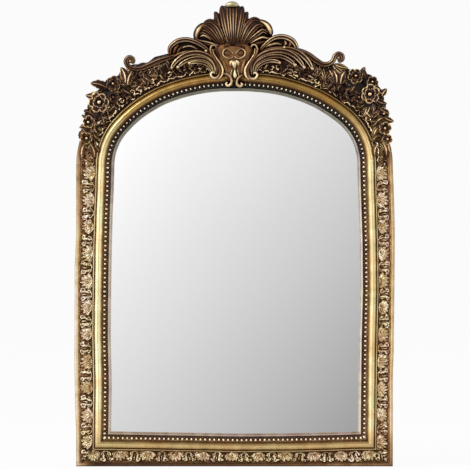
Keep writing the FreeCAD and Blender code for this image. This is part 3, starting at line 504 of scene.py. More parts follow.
# The low greys are a painted shadow line at the glass edge; the pale greys paint the glass's reflection on the inner
# step and the lip.
slipStops = {
    "low": [
        (0.0, (110, 104, 102)), (0.16, (104, 98, 96)), (0.2, (48, 28, 16)), (0.32, (74, 48, 24)),
        (0.46, (128, 96, 44)), (0.7, (200, 190, 188)), (1.0, (238, 234, 232)),
    ],
    "high": [
        (0.0, (96, 94, 92)), (0.16, (90, 88, 86)), (0.2, (16, 9, 5)), (0.32, (24, 14, 8)), (0.46, (58, 40, 18)),
        (0.7, (92, 84, 74)), (1.0, (150, 148, 140)),
    ],
}
slipGilt = giltMaterial(
    "slipGilt", slipStops["low"], slipStops["high"], (0.52, 0.68), mottle=0.06, soilAndShade=paleSoilShade
)
beadStops = {
    "low": [(0.0, (96, 58, 30)), (0.35, (206, 170, 124)), (0.8, (255, 246, 222))],
    "high": [(0.0, (40, 24, 14)), (0.35, (190, 174, 146)), (0.8, (255, 252, 242))],
}
beadGilt = giltMaterial(
    "beadGilt", beadStops["low"], beadStops["high"], (0.52, 0.68), mottle=0.12, rough=0.28, metal=0.45,
    bump=0.05, soilAndShade=(150, 112, 80),
)


# Timber parts: the outer edges are gilded in bronze gold, the back is bare pine with grain
def timberMaterial():
    material, tree, shader, place = freshMaterial("giltTimber")
    stretched = addNode(tree, "ShaderNodeMapping", {"Scale": (30, 30, 2.2)}, {"Vector": place}).outputs[0]
    grainNoise = noiseNode(tree, stretched, 5.0, 4.0)
    wood = rampNode(tree, grainNoise, [(0.3, (150, 112, 70)), (0.55, (190, 152, 104)), (0.75, (206, 172, 124))])
    patches = noiseNode(tree, place, 24.0, 3.0)
    gold = rampNode(tree, patches, [(0.3, (96, 62, 30)), (0.5, (168, 132, 84)), (0.7, (214, 186, 132))])
    facing = addNode(tree, "ShaderNodeNewGeometry").outputs["True Normal"]
    backward = addNode(tree, "ShaderNodeSeparateXYZ", links={"Vector": facing}).outputs["Y"]
    isBack = mathNode(tree, "GREATER_THAN", backward, 0.5)
    tree.links.new(blended(tree, isBack, gold, wood), shader.inputs["Base Color"])
    metal = mathNode(tree, "MULTIPLY", mathNode(tree, "SUBTRACT", 1.0, isBack), 0.55)
    tree.links.new(metal, shader.inputs["Metallic"])
    shader.inputs["Roughness"].default_value = 0.5
    dent(tree, shader, grainNoise, 0.2, 0.0006)
    return material


# Plain worked materials: two colours mixed by a noise, which also roughens and dents them
def plainMaterial(name, first, second, scale, rough, metal=0.0, stretch=(1, 1, 1), bump=0.15):
    material, tree, shader, place = freshMaterial(name)
    spread = addNode(tree, "ShaderNodeMapping", {"Scale": stretch}, {"Vector": place}).outputs[0]
    speck = noiseNode(tree, spread, scale, 4.0)
    tree.links.new(rampNode(tree, speck, [(0.3, first), (0.7, second)]), shader.inputs["Base Color"])
    uneven = mathNode(tree, "ADD", mathNode(tree, "MULTIPLY", speck, 0.2), rough - 0.1)
    tree.links.new(uneven, shader.inputs["Roughness"])
    shader.inputs["Metallic"].default_value = metal
    dent(tree, shader, speck, bump, 0.0004)
    return material


# Silvered glass: a mirror with a breath of unevenness in its silver
def mirrorMaterial():
    material, tree, shader, place = freshMaterial("silveredGlass")
    silver = rampNode(tree, noiseNode(tree, place, 3.0, 1.0), [(0.3, (252, 252, 253)), (0.7, (254, 254, 255))])
    tree.links.new(silver, shader.inputs["Base Color"])
    shader.inputs["Metallic"].default_value = 1.0
    shader.inputs["Roughness"].default_value = 0.0
    return material


timberGilt = timberMaterial()
boardGround = giltMaterial("crestGround", bronze, bronze, patinaAndLight=0.14, mottle=0.35, rough=0.5)
finishes = {
    "mirror_glass": mirrorMaterial(),
    "liner_sheet": plainMaterial("foamLiner", (188, 188, 184), (214, 214, 210), 500, 0.9),
    "backboard": plainMaterial("fibreboard", (104, 74, 48), (134, 100, 68), 700, 0.8),
    "dowels": plainMaterial("beechDowel", (190, 150, 104), (214, 176, 130), 60, 0.7, stretch=(1, 8, 8)),
    "crest_board": boardGround,
    "turn_button_screws": plainMaterial("zincScrew", (150, 152, 154), (196, 198, 200), 400, 0.35, 1.0),
    "hanger_screws": plainMaterial("brassScrew", (150, 120, 66), (206, 176, 108), 400, 0.35, 1.0),
}
timberNames = ("stile_left", "stile_right", "bottom_rail", "arch_haunch_left", "arch_haunch_right", "arch_crown")
buttonSteel = plainMaterial("springSteel", (120, 122, 126), (176, 178, 182), 300, 0.4, 1.0)
strapBrass = plainMaterial("strapBrass", (156, 128, 74), (204, 176, 112), 220, 0.38, 1.0)
for nodeName, nodeObject in nodes.items():
    if nodeName in timberNames:
        chosen = timberGilt
    elif nodeName in finishes:
        chosen = finishes[nodeName]
    elif nodeName.startswith("turn_button_"):
        chosen = buttonSteel
    elif nodeName.startswith(("hanger_strap", "hanger_ring")):
        chosen = strapBrass
    else:
        chosen = carvedGilt
    if not nodeObject.material_slots:
        nodeObject.data.materials.append(chosen)
        continue
    for materialSlot in nodeObject.material_slots:
        materialSlot.link = "OBJECT"
        materialSlot.material = chosen
print("materials made:", len(bpy.data.materials))


# The sight edge as points and outward ways. Ways at the two lower corners point along the mitre, so one
# reach gives a parallel line all round. Order: left side down, bottom, right side up, then over the arch.
def sightPath(sidePoints=120, bottomPoints=110, archStep=3.0, mitreSteps=8, mitreStep=0.01):
    half, low, spring = sight["halfWidth"], sight["bottom"], sight["spring"]
    down = np.linspace(spring, low, sidePoints)
    along = np.linspace(-half, half, bottomPoints)
    haunchSweep = math.pi / 2 - crownHalf
    haunchCount = int(sight["haunchRadius"] * haunchSweep / archStep) + 2
    crownCount = int(sight["crownRadius"] * 2 * crownHalf / archStep) + 2
    right = np.linspace(0, haunchSweep, haunchCount)[1:]
    crown = np.linspace(crownHalf, -crownHalf, crownCount)[1:]
    left = np.linspace(math.pi - haunchSweep, math.pi, haunchCount)[1:-1]
    radius = sight["haunchRadius"]
    rising = np.append(np.arange(1, mitreSteps) / mitreSteps, np.ones(mitreSteps))
    shift = mitreStep * np.arange(1 - mitreSteps, mitreSteps)
    mitre = np.stack([np.clip(shift, 0, 1), np.clip(-shift, 0, 1)], 1)
    points = np.concatenate(
        [
            np.stack([np.full(sidePoints - 1, -half), down[:-1]], 1),
            mitre + np.array([[-half, low]]),
            np.stack([along[1:-1], np.full(bottomPoints - 2, low)], 1),
            mitre[::-1] * np.array([[-1, 1]]) + np.array([[half, low]]),
            np.stack([np.full(sidePoints - 1, half), down[::-1][1:]], 1),
            np.stack([haunchX + radius * np.cos(right), spring + radius * np.sin(right)], 1),
            np.stack([sight["crownRadius"] * np.sin(crown), crownZ + sight["crownRadius"] * np.cos(crown)], 1),
            np.stack([-haunchX + radius * np.cos(left), spring + radius * np.sin(left)], 1),
        ]
    )
    ways = np.concatenate(
        [
            np.stack([np.full(sidePoints - 1, -1.0), np.zeros(sidePoints - 1)], 1),
            np.stack([-rising[::-1], -rising], 1),
            np.stack([np.zeros(bottomPoints - 2), np.full(bottomPoints - 2, -1.0)], 1),
            np.stack([rising, -rising[::-1]], 1),
            np.stack([np.full(sidePoints - 1, 1.0), np.zeros(sidePoints - 1)], 1),
            np.stack([np.cos(right), np.sin(right)], 1),
            np.stack([np.sin(crown), np.cos(crown)], 1),
            np.stack([np.cos(left), np.sin(left)], 1),
        ]
    )
    return points, ways


# Section points between corners: straight runs and bulged arcs, as rows (reach, rise, patina and light) with
# the number of steps and the bulge of the run that leads to each row
def sectionOf(rows):
    reach, rise, lit = [rows[0][0]], [rows[0][1]], [rows[0][2]]
    for (r1, h1, l1), (r2, h2, l2, steps, bulge) in zip([row[:3] for row in rows], rows[1:]):
        s = np.linspace(0, 1, steps + 1)[1:]
        hump = np.sqrt(np.clip(1 - (2 * s - 1) ** 2, 0, 1)) * bulge
        reach += list(r1 + (r2 - r1) * s)
        rise += list(h1 + (h2 - h1) * s + hump)
        lit += list(l1 + (l2 - l1) * s)
    return np.array(reach), np.array(rise), np.array(lit)


# The section carried round the closed path, with the bow and a slow hand-made waver in its rise and width.
# The shares of light by the distance round paint light and shade on the reaches between the two given.
def carried(section, waver, seed, lightShares, litReaches):
    points, ways = sightPath()
    reach, rise, lit = section
    gone = np.concatenate([[0], np.cumsum(np.hypot(*np.diff(points, axis=0).T))])
    drift = softNoise(gone, gone * 0, 26.0, seed) * waver
    inside = (reach > reach.min() + 0.1) * (reach < reach.max() - 0.1)
    out = reach[None, :] + (0.6 * drift)[:, None] * inside + bowAt(gone[:, None], reach[None, :])
    x = points[:, :1] + ways[:, :1] * out
    z = points[:, 1:] + ways[:, 1:] * out
    front = rise[None, :] + drift[:, None] * (rise > sight["timberFront"] + 0.1)
    patch = softNoise(gone, gone * 0, 9.0, seed + 1)[:, None] * 0.08
    share = np.interp(gone, *np.array(lightShares, float).T)[:, None]
    tone = 1 - (1 - share) * (reach > litReaches[0]) * (reach < litReaches[1])
    return gridSkin(x, z, front, (lit[None, :] + patch * (lit > 0.1)) * tone, "round")


# One plain moulding carried round in one piece, in place of its four runs
def mouldingPiece(name, moulding, material, slotName):
    rows, litReaches = sectionOf(moulding["section"]), moulding.get("litReaches", (0, 99))
    skin = carried(rows, moulding["waver"], moulding["seed"], moulding["lightShares"], litReaches)
    pieceOf(name, [skin], material, [slotName + "_" + run for run in runNames])


front = sight["timberFront"]
slip = {
    "section": [
        # The inner step at the glass edge, from -2.4 to 0.3, is painted in pale greys as the glass's reflection.
        (-2.4, front, 0.7),
        (-2.4, front + 0.5, 0.95, 2, 0),
        (0.3, front + 0.6, 0.85, 3, 0),
        (0.5, front + 1.4, 0.9, 2, 0.2),
        (3.4, front + 2.2, 1.0, 3, 0.3),
        (4.3, front + 1.0, 0.3, 2, 0),
        (6.4, front + 0.8, 0.25, 2, 0),
        (9.4, front + 1.0, 0.28, 3, 0),
        (13.0, front + 1.2, 0.44, 3, 0),
        (16.4, front + 2.2, 0.5, 2, 0),
        (16.8, front, 0.3, 2, 0),
    ],
    "waver": 0.12,
    "seed": 3,
    # Painted light and shade by the distance round on the lip: darkest along the bottom, brightest over the arch
    "litReaches": (-3.0, 3.9),
    "lightShares": [
        (0, 0.76), (536, 0.78), (536.05, 0.64), (1036, 0.64), (1036.1, 0.82), (1572, 0.82),
        (1640, 1.05), (2160, 1.1), (2218, 0.8),
    ],
}
mouldingPiece("sightSlip", slip, slipGilt, "bead_moulding")

torus = {
    # Third column: brightest along the torus's top, a painted highlight over the rubbed gilding; darker at its feet
    # and in the groove
    "section": [
        (14.6, front, 0),
        (15.0, front + 3.2, 0.12, 3, 0.4),
        (17.0, front + 6.4, 0.3, 3, 0.6),
        (19.6, front + 10.4, 0.75, 4, 0.8),
        (23.6, front + 13.2, 1.0, 5, 0.4),
        (28.2, front + 11.4, 0.85, 5, 0.7),
        (30.6, front + 8.6, 0.5, 3, 0.4),
        (31.2, front + 7.0, 0.1, 2, 0),
        (32.1, front + 7.0, 0.1, 2, 0),
        (32.5, front + 8.6, 0.85, 2, 0.2),
        (34.3, front + 8.8, 0.85, 3, 0.3),
        (34.8, front + 7.0, 0.2, 2, 0),
        (35.8, front + 6.6, 0.15, 2, 0),
        (36.0, front, 0, 2, 0),
    ],
    "waver": 0.3,
    "seed": 11,
    # Painted light and shade by the distance round along the torus: brightest on the left side
    "lightShares": [
        (0, 0.88), (120, 0.95), (500, 1.0), (536.05, 0.74), (800, 0.7), (1036, 0.76), (1050, 0.8), (1400, 0.74),
        (1572, 0.78), (1640, 0.72), (1860, 0.68), (1900, 0.8), (2100, 0.9), (2218, 0.88),
    ],
}
mouldingPiece("torusMoulding", torus, torusGilt, "torus_moulding")

frieze = {
    # Third column: the rim is brightest on its rounded top, a painted highlight over the rubbed gilding
    "section": [
        (35.4, front, 0),
        (35.4, front + 5.6, 0.05, 2, 0),
        (57.0, front + 5.6, 0.12, 6, 0),
        (58.0, front + 7.2, 0.38, 2, 0),
        (60.6, front + 8.6, 0.6, 3, 0),
        (61.6, front + 10.2, 0.9, 2, 0.3),
        (64.4, front + 11.2, 1.0, 4, 0.3),
        (66.8, front + 9.8, 0.8, 3, 0.4),
        (67.6, front + 7.4, 0.55, 2, 0.2),
        (68.0, front + 2.0, 0.45, 2, 0),
        (68.0, front, 0.2, 1, 0),
    ],
    "waver": 0.3,
    "seed": 23,
    # Painted light and shade by the distance round on the rim: the bottom rim is painted nearly black as shade
    "litReaches": (59, 67.3),
    "lightShares": [
        (0, 0.46), (70, 0.56), (160, 0.72), (280, 0.86), (536, 0.8), (536.04, 0.08), (800, 0.2), (1036, 0.42),
        (1036.1, 0.72), (1200, 0.66), (1500, 0.6), (1572, 0.5), (1620, 0.3), (2170, 0.3), (2218, 0.6),
    ],
}
mouldingPiece("friezeRim", frieze, carvedGilt, "frieze_moulding")

beads = {
    "reach": 11.2,
    "pitch": 9.2,
    "rings": 4,
    "around": 10,
    "seed": 5,
    "unevenness": 0.08,
    "archFade": 60,  # height above the spring over which the arch's beads grow smaller and darker
    "archShrink": 0.16,
    "archDim": 0.1,
    "rise": 1.15,
    "bed": 0.8,
    "foot": 0.4,
    "rows": [  # reach, radius, length across as a share of it, offset in pitches, brightness
        (11.2, 2.35, 1.4, 0.5, 0.95),
        (7.4, 1.0, 1.0, 1.0, 0.2),
    ],
}


# Beads set at an even pitch along the sight edge: half eggs of a few rings, longer across the moulding than
# along it, all in one array. offset moves them along by a share of the pitch.
def beadRow(reach, radius, long, offset, bright):
    rings, around = beads["rings"], beads["around"]
    points, ways = sightPath(240, 220, 1.0)
    run = np.concatenate([[0], np.cumsum(np.hypot(*np.diff(points, axis=0).T))])
    line = points + ways * (beads["reach"] + bowAt(run, reach))[:, None]
    gaps = np.hypot(*(np.roll(line, -1, 0) - line).T)
    gone = np.concatenate([[0], np.cumsum(gaps)])
    closed, out = np.concatenate([line, line[:1]]), np.concatenate([ways, ways[:1]])
    count = int(round(gone[-1] / beads["pitch"]))
    at = (np.arange(count) + offset) * gone[-1] / count
    outX, outZ = np.interp(at, gone, out[:, 0]), np.interp(at, gone, out[:, 1])
    x = np.interp(at, gone, closed[:, 0]) + (reach - beads["reach"]) * outX
    z = np.interp(at, gone, closed[:, 1]) + (reach - beads["reach"]) * outZ
    lift = np.linspace(0, math.pi / 2, rings, endpoint=False)[None, :, None]
    turn = np.linspace(0, 2 * math.pi, around, endpoint=False)[None, None, :]
    above = smoothStep(z, sight["spring"], sight["spring"] + beads["archFade"])
    uneven = 1 + beads["unevenness"] * np.random.default_rng(beads["seed"]).uniform(-1, 1, count)
    size = (radius * (1 - beads["archShrink"] * above) * uneven)[:, None, None]
    outX, outZ = outX[:, None, None], outZ[:, None, None]
    across, along = size * long * np.cos(lift) * np.sin(turn), size * np.cos(lift) * np.cos(turn)
    gx = x[:, None, None] + across * outX - along * outZ
    gz = z[:, None, None] + across * outZ + along * outX
    base = front + beads["bed"]
    rise = base + beads["foot"] + size * beads["rise"] * np.sin(lift) + 0 * gx
    rise[:, 0, :] = base
    shine = bright * (1 - beads["archDim"] * above)
    lit = np.linspace(0.0, 1.0, rings)[None, :, None] * shine[:, None, None] + 0 * gx
    perBead = rings * around
    ring = np.arange(perBead).reshape(rings, around)
    quads = np.stack([ring[:-1], np.roll(ring[:-1], -1, 1), np.roll(ring[1:], -1, 1), ring[1:]], -1).reshape(-1, 4)
    crown = np.stack([ring[-1], np.roll(ring[-1], -1), np.full(around, perBead)], -1)
    foot = np.stack([np.roll(ring[0], -1), ring[0], np.full(around, perBead + 1)], -1)
    body = np.stack([gx, -rise, gz], -1).reshape(count, perBead, 3)
    top = np.stack([x, -(base + beads["foot"] + size[:, 0, 0] * beads["rise"]), z], -1)[:, None]
    under = np.stack([x, np.full(count, -base), z], -1)[:, None]
    every = np.concatenate([body, top, under], 1)
    value = np.concatenate([lit.reshape(count, perBead), shine[:, None], np.zeros((count, 1))], 1)
    shift = (np.arange(count) * (perBead + 2))[:, None, None]
    faces = [(block[None] + shift).reshape(-1, block.shape[1]) for block in (quads, crown, foot)]
    return {"points": every.reshape(-1, 3), "patinaAndLight": value.reshape(-1), "faces": faces, "caps": []}


pieceOf("beadRow", [beadRow(*row) for row in beads["rows"]], beadGilt, [], 80)
print("mouldings made")

ornament = {
    "inner": 35.4,
    "outer": 58.4,
    "ground": 25.0,
    "height": 5.6,
    "period": 54.0,
    "shell": 31.0,
    "grain": 0.7,
    "lean": 0.22,
    "spread": (0.84, 1.16),
    "length": {"left": 590.0, "right": 590.0, "bottom": 600.0, "arch": 790.0},
    "light": {"left": 1.04, "right": 0.95, "bottom": 1.04},
    "seed": {"left": 101, "right": 202, "bottom": 303, "arch": 404},
}
shellLeaves = {
    "root": 3.0,  # how far the leaves' common root lies inside the torus edge
    "aside": 3,
    "length": 25.0,
    "shorter": 0.6,  # times the square of a leaf's number from the middle
    "fanStep": 0.31,
    "halfWidth": 3.1,
    "bowl": (13.5, 12.4, 1.5, 8.5),  # centre, radius, width of its line, and how far out it shows
    "foot": (2.6, 2.6, 2.2),  # half width, place and half height
}


# Shell of seven leaves that opens outward from a root by the torus, over a bowl line. a runs along, b outward.
# Each leaf is a ridge about a ray from the root, widest at two thirds of its length and grooved.
def shellModule(a, b, lean, spread):
    fromRoot = b + shellLeaves["root"]
    away, turn = np.hypot(a, fromRoot), np.arctan2(a, fromRoot) + lean
    high = np.zeros_like(a)
    for k in range(-shellLeaves["aside"], shellLeaves["aside"] + 1):
        share = np.clip(away / (shellLeaves["length"] - shellLeaves["shorter"] * k * k), 0, 1)
        off = (turn - shellLeaves["fanStep"] * k * spread) * away
        closing = ridge(np.clip(share - 0.8, 0, 1), 0.2)
        half = 0.3 + shellLeaves["halfWidth"] * np.sin(2.3 * share) * closing
        groove = 0.4 * np.exp(-((off / 0.5) ** 2)) * (share > 0.35)
        high = np.maximum(high, ridge(off, half) * (0.45 + 0.55 * share) - groove)
    centre, radius, line, shown = shellLeaves["bowl"]
    bowl = ridge(np.hypot(a, b - centre) - radius, line) * (b < shown)
    wide, out, long = shellLeaves["foot"]
    foot = ridge(np.hypot(a / wide, (b - out) / long), 1.0)
    return np.maximum.reduce([high, 0.95 * bowl, foot])


pairLeaves = {
    "stem": (2.8, 2.9, 8.5),  # gap from the middle, outward swing, and the height that it takes
    "height": 21.0,
    "halfWidth": 1.9,
    "tip": (7.4, 17.5, 3.1),  # place aside and outward, and radius of the roll
    "bud": (1.4, 14.5, 6.0),  # half width, place and half height
    "berry": (9.0, 1.7, 7.0, 3.2),  # place aside, then as the bud
    "bowl": (9.6, 8.6, 1.4, 5.5),  # as the shell's
}


# Two upright leaves with rolled tips on both sides of a bud, over a shorter bowl line
def pairModule(a, b, lean, spread):
    side = np.abs(a + 0.5 * lean * (b - 12.0))
    gap, swing, over = pairLeaves["stem"]
    off = side - (gap + swing * np.sin(b / over)) * spread
    tall = np.sin(np.pi * np.clip((b - 1) / pairLeaves["height"], 0, 1))
    upright = ridge(off, 0.5 + pairLeaves["halfWidth"] * tall) * (tall > 0) - 0.35 * np.exp(-((off / 0.45) ** 2))
    aside, out, roll = pairLeaves["tip"]
    fromTip = np.hypot(side - aside * spread, b - out)
    curl = np.maximum(ridge(fromTip - roll, 1.25), ridge(fromTip, 1.3))
    wide, out, long = pairLeaves["bud"]
    bud = ridge(np.hypot(side / wide, (b - out) / long), 1.0)
    aside, wide, out, long = pairLeaves["berry"]
    berry = ridge(np.hypot((side - aside) / wide, (b - out) / long), 1.0)
    centre, radius, line, shown = pairLeaves["bowl"]
    bowl = ridge(np.hypot(side / 1.1, b - centre) - radius, line) * (b < shown)
    return np.maximum.reduce([upright, curl, 0.9 * bud, 0.85 * berry, 0.95 * bowl])


rocaille = {
    "ruffle": (5.4, 1.5),  # distance from the torus and width of the line
    "ruffleWaves": (2.62, 1.2),
    "echo": (3.2, 1.0),  # distance beyond the ruffle and width
    "pitch": 20.5,
    "scrolls": 13.2,  # how far out their middles lie
    "scrollCentre": 3.5,
    "scroll": (3.8, 1.3),  # radius and width of the line
    "eye": 1.4,
    "sprig": (5.0, 0.55, 2.2),  # place along, slant and half width
    "secondSprig": (9.0, 0.5, 1.5),
}


# Rocaille of the arch: a ruffled line by the torus with a thin line beyond it, then C scrolls with an eye and two
# slanting sprigs at an uneven pitch. Noise moves every line and dims parts, and cells are turned over at will.
def rocailleRun(a, b):
    drawn = a + 5.0 * softNoise(a, a * 0, 15.0, 47)
    swell = 1.3 + 1.1 * softNoise(a, a * 0, 22.0, 53)
    longWave, shortWave = rocaille["ruffleWaves"]
    waver = 1.4 * np.sin(drawn / longWave) + 0.5 * np.sin(drawn / shortWave)
    out, line = rocaille["ruffle"]
    waver = out + swell * waver + 1.2 * softNoise(a, a * 0, 6.0, 41)
    bright = 0.6 + 0.5 * smoothStep(softNoise(a, b, 9.0, 59), -0.6, -0.1)
    ruffle = bright * ridge(b - waver, line)
    beyond, line = rocaille["echo"]
    echo = 0.65 * ridge(b - waver - beyond, line)
    patch = 0.45 + 0.7 * smoothStep(softNoise(a, b, 13.0, 61), -0.3, 0.4)
    middle = rocaille["scrolls"] + 2.6 * softNoise(a, a * 0, 17.0, 67)
    pitch = rocaille["pitch"]
    paced = a + pitch / 2 + 3 * softNoise(a, a * 0, 30.0, 43)
    flip = np.where(np.sin(2.7 * np.floor(paced / pitch)) > 0, 1, -1)
    local = (paced % pitch - pitch / 2) * flip
    fromCentre = local + rocaille["scrollCentre"]
    ring = np.hypot(fromCentre, b - middle)
    turn = np.arctan2(b - middle, fromCentre) + 0.9 * softNoise(a, a * 0, 24.0, 71)
    radius, line = rocaille["scroll"]
    scroll = ridge(ring - radius - 0.3 * turn, line) * (np.abs(turn - 0.4) > 0.6)
    eye = ridge(ring, rocaille["eye"])
    place, lean, half = rocaille["sprig"]
    slant = local - place + lean * (b - 15.0)
    tall = np.sin(np.pi * np.clip((b - 7) / 16, 0, 1))
    sprig = ridge(slant, 0.4 + half * tall) - 0.5 * np.exp(-((slant / 0.5) ** 2))
    place, lean, half = rocaille["secondSprig"]
    second = ridge(local + place - lean * (b - 17.0), half) * (b > 14)
    lines = [1.2 * ruffle, echo, 1.15 * patch * scroll, 0.8 * patch * eye]
    return np.maximum.reduce(lines + [(1.3 - 0.6 * patch) * sprig * (b > 7), 0.6 * second])


# Places of one run: side and bottom runs end on the mitres, the arch run ends at the springs.
# share runs along it and reach across; gives x, z and the distance along at mid width.
def runPlaces(run, share, reach, mid=50.0):
    half, low, spring = sight["halfWidth"], sight["bottom"], sight["spring"]
    starts = {"left": 0.0, "bottom": sideRun, "right": 2 * sideRun + 2 * half, "arch": roundRun}
    lengths = {"left": sideRun, "bottom": 2 * half, "right": -sideRun, "arch": -archRun}
    reach = reach + bowAt(starts[run] + share * lengths[run], reach)
    if run in ("left", "right"):
        side = -1 if run == "left" else 1
        z = spring - share * (spring - low + reach)
        return side * (half + reach), z, spring - z
    if run == "bottom":
        x = (2 * share - 1) * (half + reach)
        return x, low - reach + 0 * x, x + half + mid
    sweep = math.pi / 2 - crownHalf
    haunchRun = (sight["haunchRadius"] + mid) * sweep
    crownRun = (sight["crownRadius"] + mid) * 2 * crownHalf
    gone = share * (2 * haunchRun + crownRun)
    first = math.pi - np.clip(gone / haunchRun, 0, 1) * sweep
    middle = -crownHalf + np.clip((gone - haunchRun) / crownRun, 0, 1) * 2 * crownHalf
    last = sweep * np.clip((2 * haunchRun + crownRun - gone) / haunchRun, 0, 1)
    small, large = sight["haunchRadius"] + reach, sight["crownRadius"] + reach
    parts = [gone < haunchRun, gone < haunchRun + crownRun]
    x = [-haunchX + small * np.cos(first), large * np.sin(middle)]
    z = [spring + small * np.sin(first), crownZ + large * np.cos(middle)]
    x = np.select(parts, x, haunchX + small * np.cos(last))
    z = np.select(parts, z, spring + small * np.sin(last))
    return x, z, gone


# Shells and pairs by turns along a side or the bottom, each with its own lean and spread from the dice, and a
# small bud on every seam between them
def leafRun(run, a, b, warpA, warpB, seed):
    count = int(round(a.max() / ornament["period"]))
    period = a.max() / count
    shell = period * ornament["shell"] / ornament["period"]
    which = np.clip(np.floor(warpA / period).astype(int), 0, count - 1)
    along = warpA - which * period
    dice = np.random.default_rng(seed)
    lean = dice.uniform(-ornament["lean"], ornament["lean"], count)[which]
    spread = dice.uniform(*ornament["spread"], count)[which]
    fan = shellModule(along - shell / 2, warpB, lean, spread)
    pair = pairModule(along - (period + shell) / 2, warpB, lean, spread)
    high = np.where(along < shell, fan, pair)
    seam = np.minimum(np.abs(along - shell), np.minimum(along, period - along))
    high = np.maximum(high, 0.8 * ridge(np.hypot(seam / 2.2, (warpB - 17.0) / 4.0), 1.0))
    worn = 1.0 + 0.2 * softNoise(a, b, 16.0, seed + 8)
    return high * worn * (0.78 + 0.22 * smoothStep(b, 2.0, 9.0)) * ornament["light"][run]


# Height field of one run as a closed slab: the carved face, chipped and stippled by noise, straight walls and a
# flat back
def ornamentRun(run, seed):
    width = ornament["outer"] - ornament["inner"]
    rows, columns = int(ornament["length"][run] / ornament["grain"]), int(width / ornament["grain"])
    share = np.linspace(0.0005, 0.9995, rows)[:, None]
    b = np.linspace(0, width, columns)[None, :]
    x, z, a = runPlaces(run, share, ornament["inner"] + b)
    a, b = a + 0 * b, b + 0 * share
    warpA = a + 2.0 * softNoise(a, b, 7.5, seed) + 0.7 * softNoise(a, b, 2.6, seed + 2)
    warpB = b + 1.5 * softNoise(a, b, 8.0, seed + 1) + 0.6 * softNoise(a, b, 2.4, seed + 3)
    # Off the arch the ground darkens within a few millimetres of the torus: painted shade along the join.
    if run == "arch":
        high, ground = rocailleRun(warpA, warpB), 0.0
    else:
        high, ground = leafRun(run, a, b, warpA, warpB, seed), 0.03 + 0.18 * smoothStep(b, 3.0, 10.0)
    chip = 1 + 0.24 * softNoise(a, b, 1.9, seed + 4)
    stipple = 0.4 * ridge(softNoise(a, b, 2.4, seed + 5), 0.45) * (0.6 + 0.4 * softNoise(a, b, 5.0, seed + 6))
    high = np.maximum(np.clip(high, 0, 1.1), stipple)
    rise = ornament["ground"] + 1.0 + ornament["height"] * np.minimum(high, 1) * chip
    glint = 0.4 * smoothStep(softNoise(a, b, 5.0, seed + 7), 0.1, 0.7)
    lit = np.clip(ground + (1.0 + glint - ground) * high**1.2 * chip, 0, 1.15)
    return walledSkin(x + 0 * rise, z + 0 * rise, rise, lit, ornament["ground"] - 1.0, "cap")


for run, seed in ornament["seed"].items():
    skins = [ornamentRun(run, seed)]
    pieceOf("friezeOrnament_" + run, skins, carvedGilt, ["frieze_leaves_" + run], 70)
print("running ornament made")


# Rows of the carving below are (x, z, half width, rise, tone), with a tone of 1 where none is given. The tone
# scales the painted light and shade of each carving along its line, over the patina.
crestBase = 14.0
plume = {
    "centre": [
        (-3, 842, 8, 40, 0.3), (-4, 862, 11, 45, 0.75), (-5, 886, 15, 48, 1.05), (-5.5, 906, 18, 50, 0.85),
        (-5.5, 920, 18, 49, 0.45), (-5.5, 929, 13, 46, 0.25),
    ],
    "secondLeft": [
        (-8, 846, 4.5, 38, 0.7), (-14, 866, 6.5, 41), (-19, 888, 8.5, 43), (-22, 906, 8.5, 44, 0.7),
        (-24, 919, 6.5, 43, 0.4), (-26, 925, 3, 40, 0.6),
    ],
    "secondRight": [
        (2, 846, 4.5, 38, 0.7), (6, 866, 6.5, 41), (10, 888, 8, 43), (13, 905, 8, 44, 0.7), (14.5, 917, 6, 43, 0.4),
        (16.5, 924, 3, 40, 0.6),
    ],
    "thirdLeft": [
        (-12, 846, 4, 34, 0.7), (-20, 862, 7, 36), (-28, 879, 9, 38), (-33, 895, 9, 39, 0.7), (-36, 906, 6, 38, 0.5),
        (-40, 913, 2.6, 35, 0.6),
    ],
    "thirdRight": [
        (5, 846, 4, 34, 0.7), (11, 862, 6, 36), (17, 879, 8, 38), (20.5, 895, 8, 39, 0.7), (23, 906, 5.6, 38, 0.5),
        (27, 912.5, 2.6, 35, 0.6),
    ],
    "brow": [
        (-22, 914, 5, 44, 0.4), (-14, 919, 8, 46, 0.4), (-5, 921, 9, 47, 0.4), (4, 919, 8, 46, 0.4),
        (12, 914, 5, 44, 0.4),
    ],
    "tipCurl": [
        (-18, 923.5, 2.8, 50, 0.7), (-12, 926, 4.8, 53, 0.8), (-5, 927, 5.6, 54.5, 0.82), (2, 926, 4.8, 53, 0.8),
        (8, 923.5, 2.8, 50, 0.7),
    ],
}
plumeSkins = [lobe(plume[row], crestBase, 3, 1.6) for row in ("thirdLeft", "thirdRight", "secondLeft", "secondRight")]
plumeSkins.append(lobe(plume["brow"], crestBase, 3, 1.0, grain=(30, 19)))
plumeSkins.append(lobe(plume["centre"], crestBase, 6, 1.8, grain=(44, 49)))
pieceOf("plumeCarving", plumeSkins, crestGilt, ["plume"], 170)
pieceOf("plumeTipCurl", [lobe(plume["tipCurl"], 40, 0)], tipGilt, ["plume_tip"])

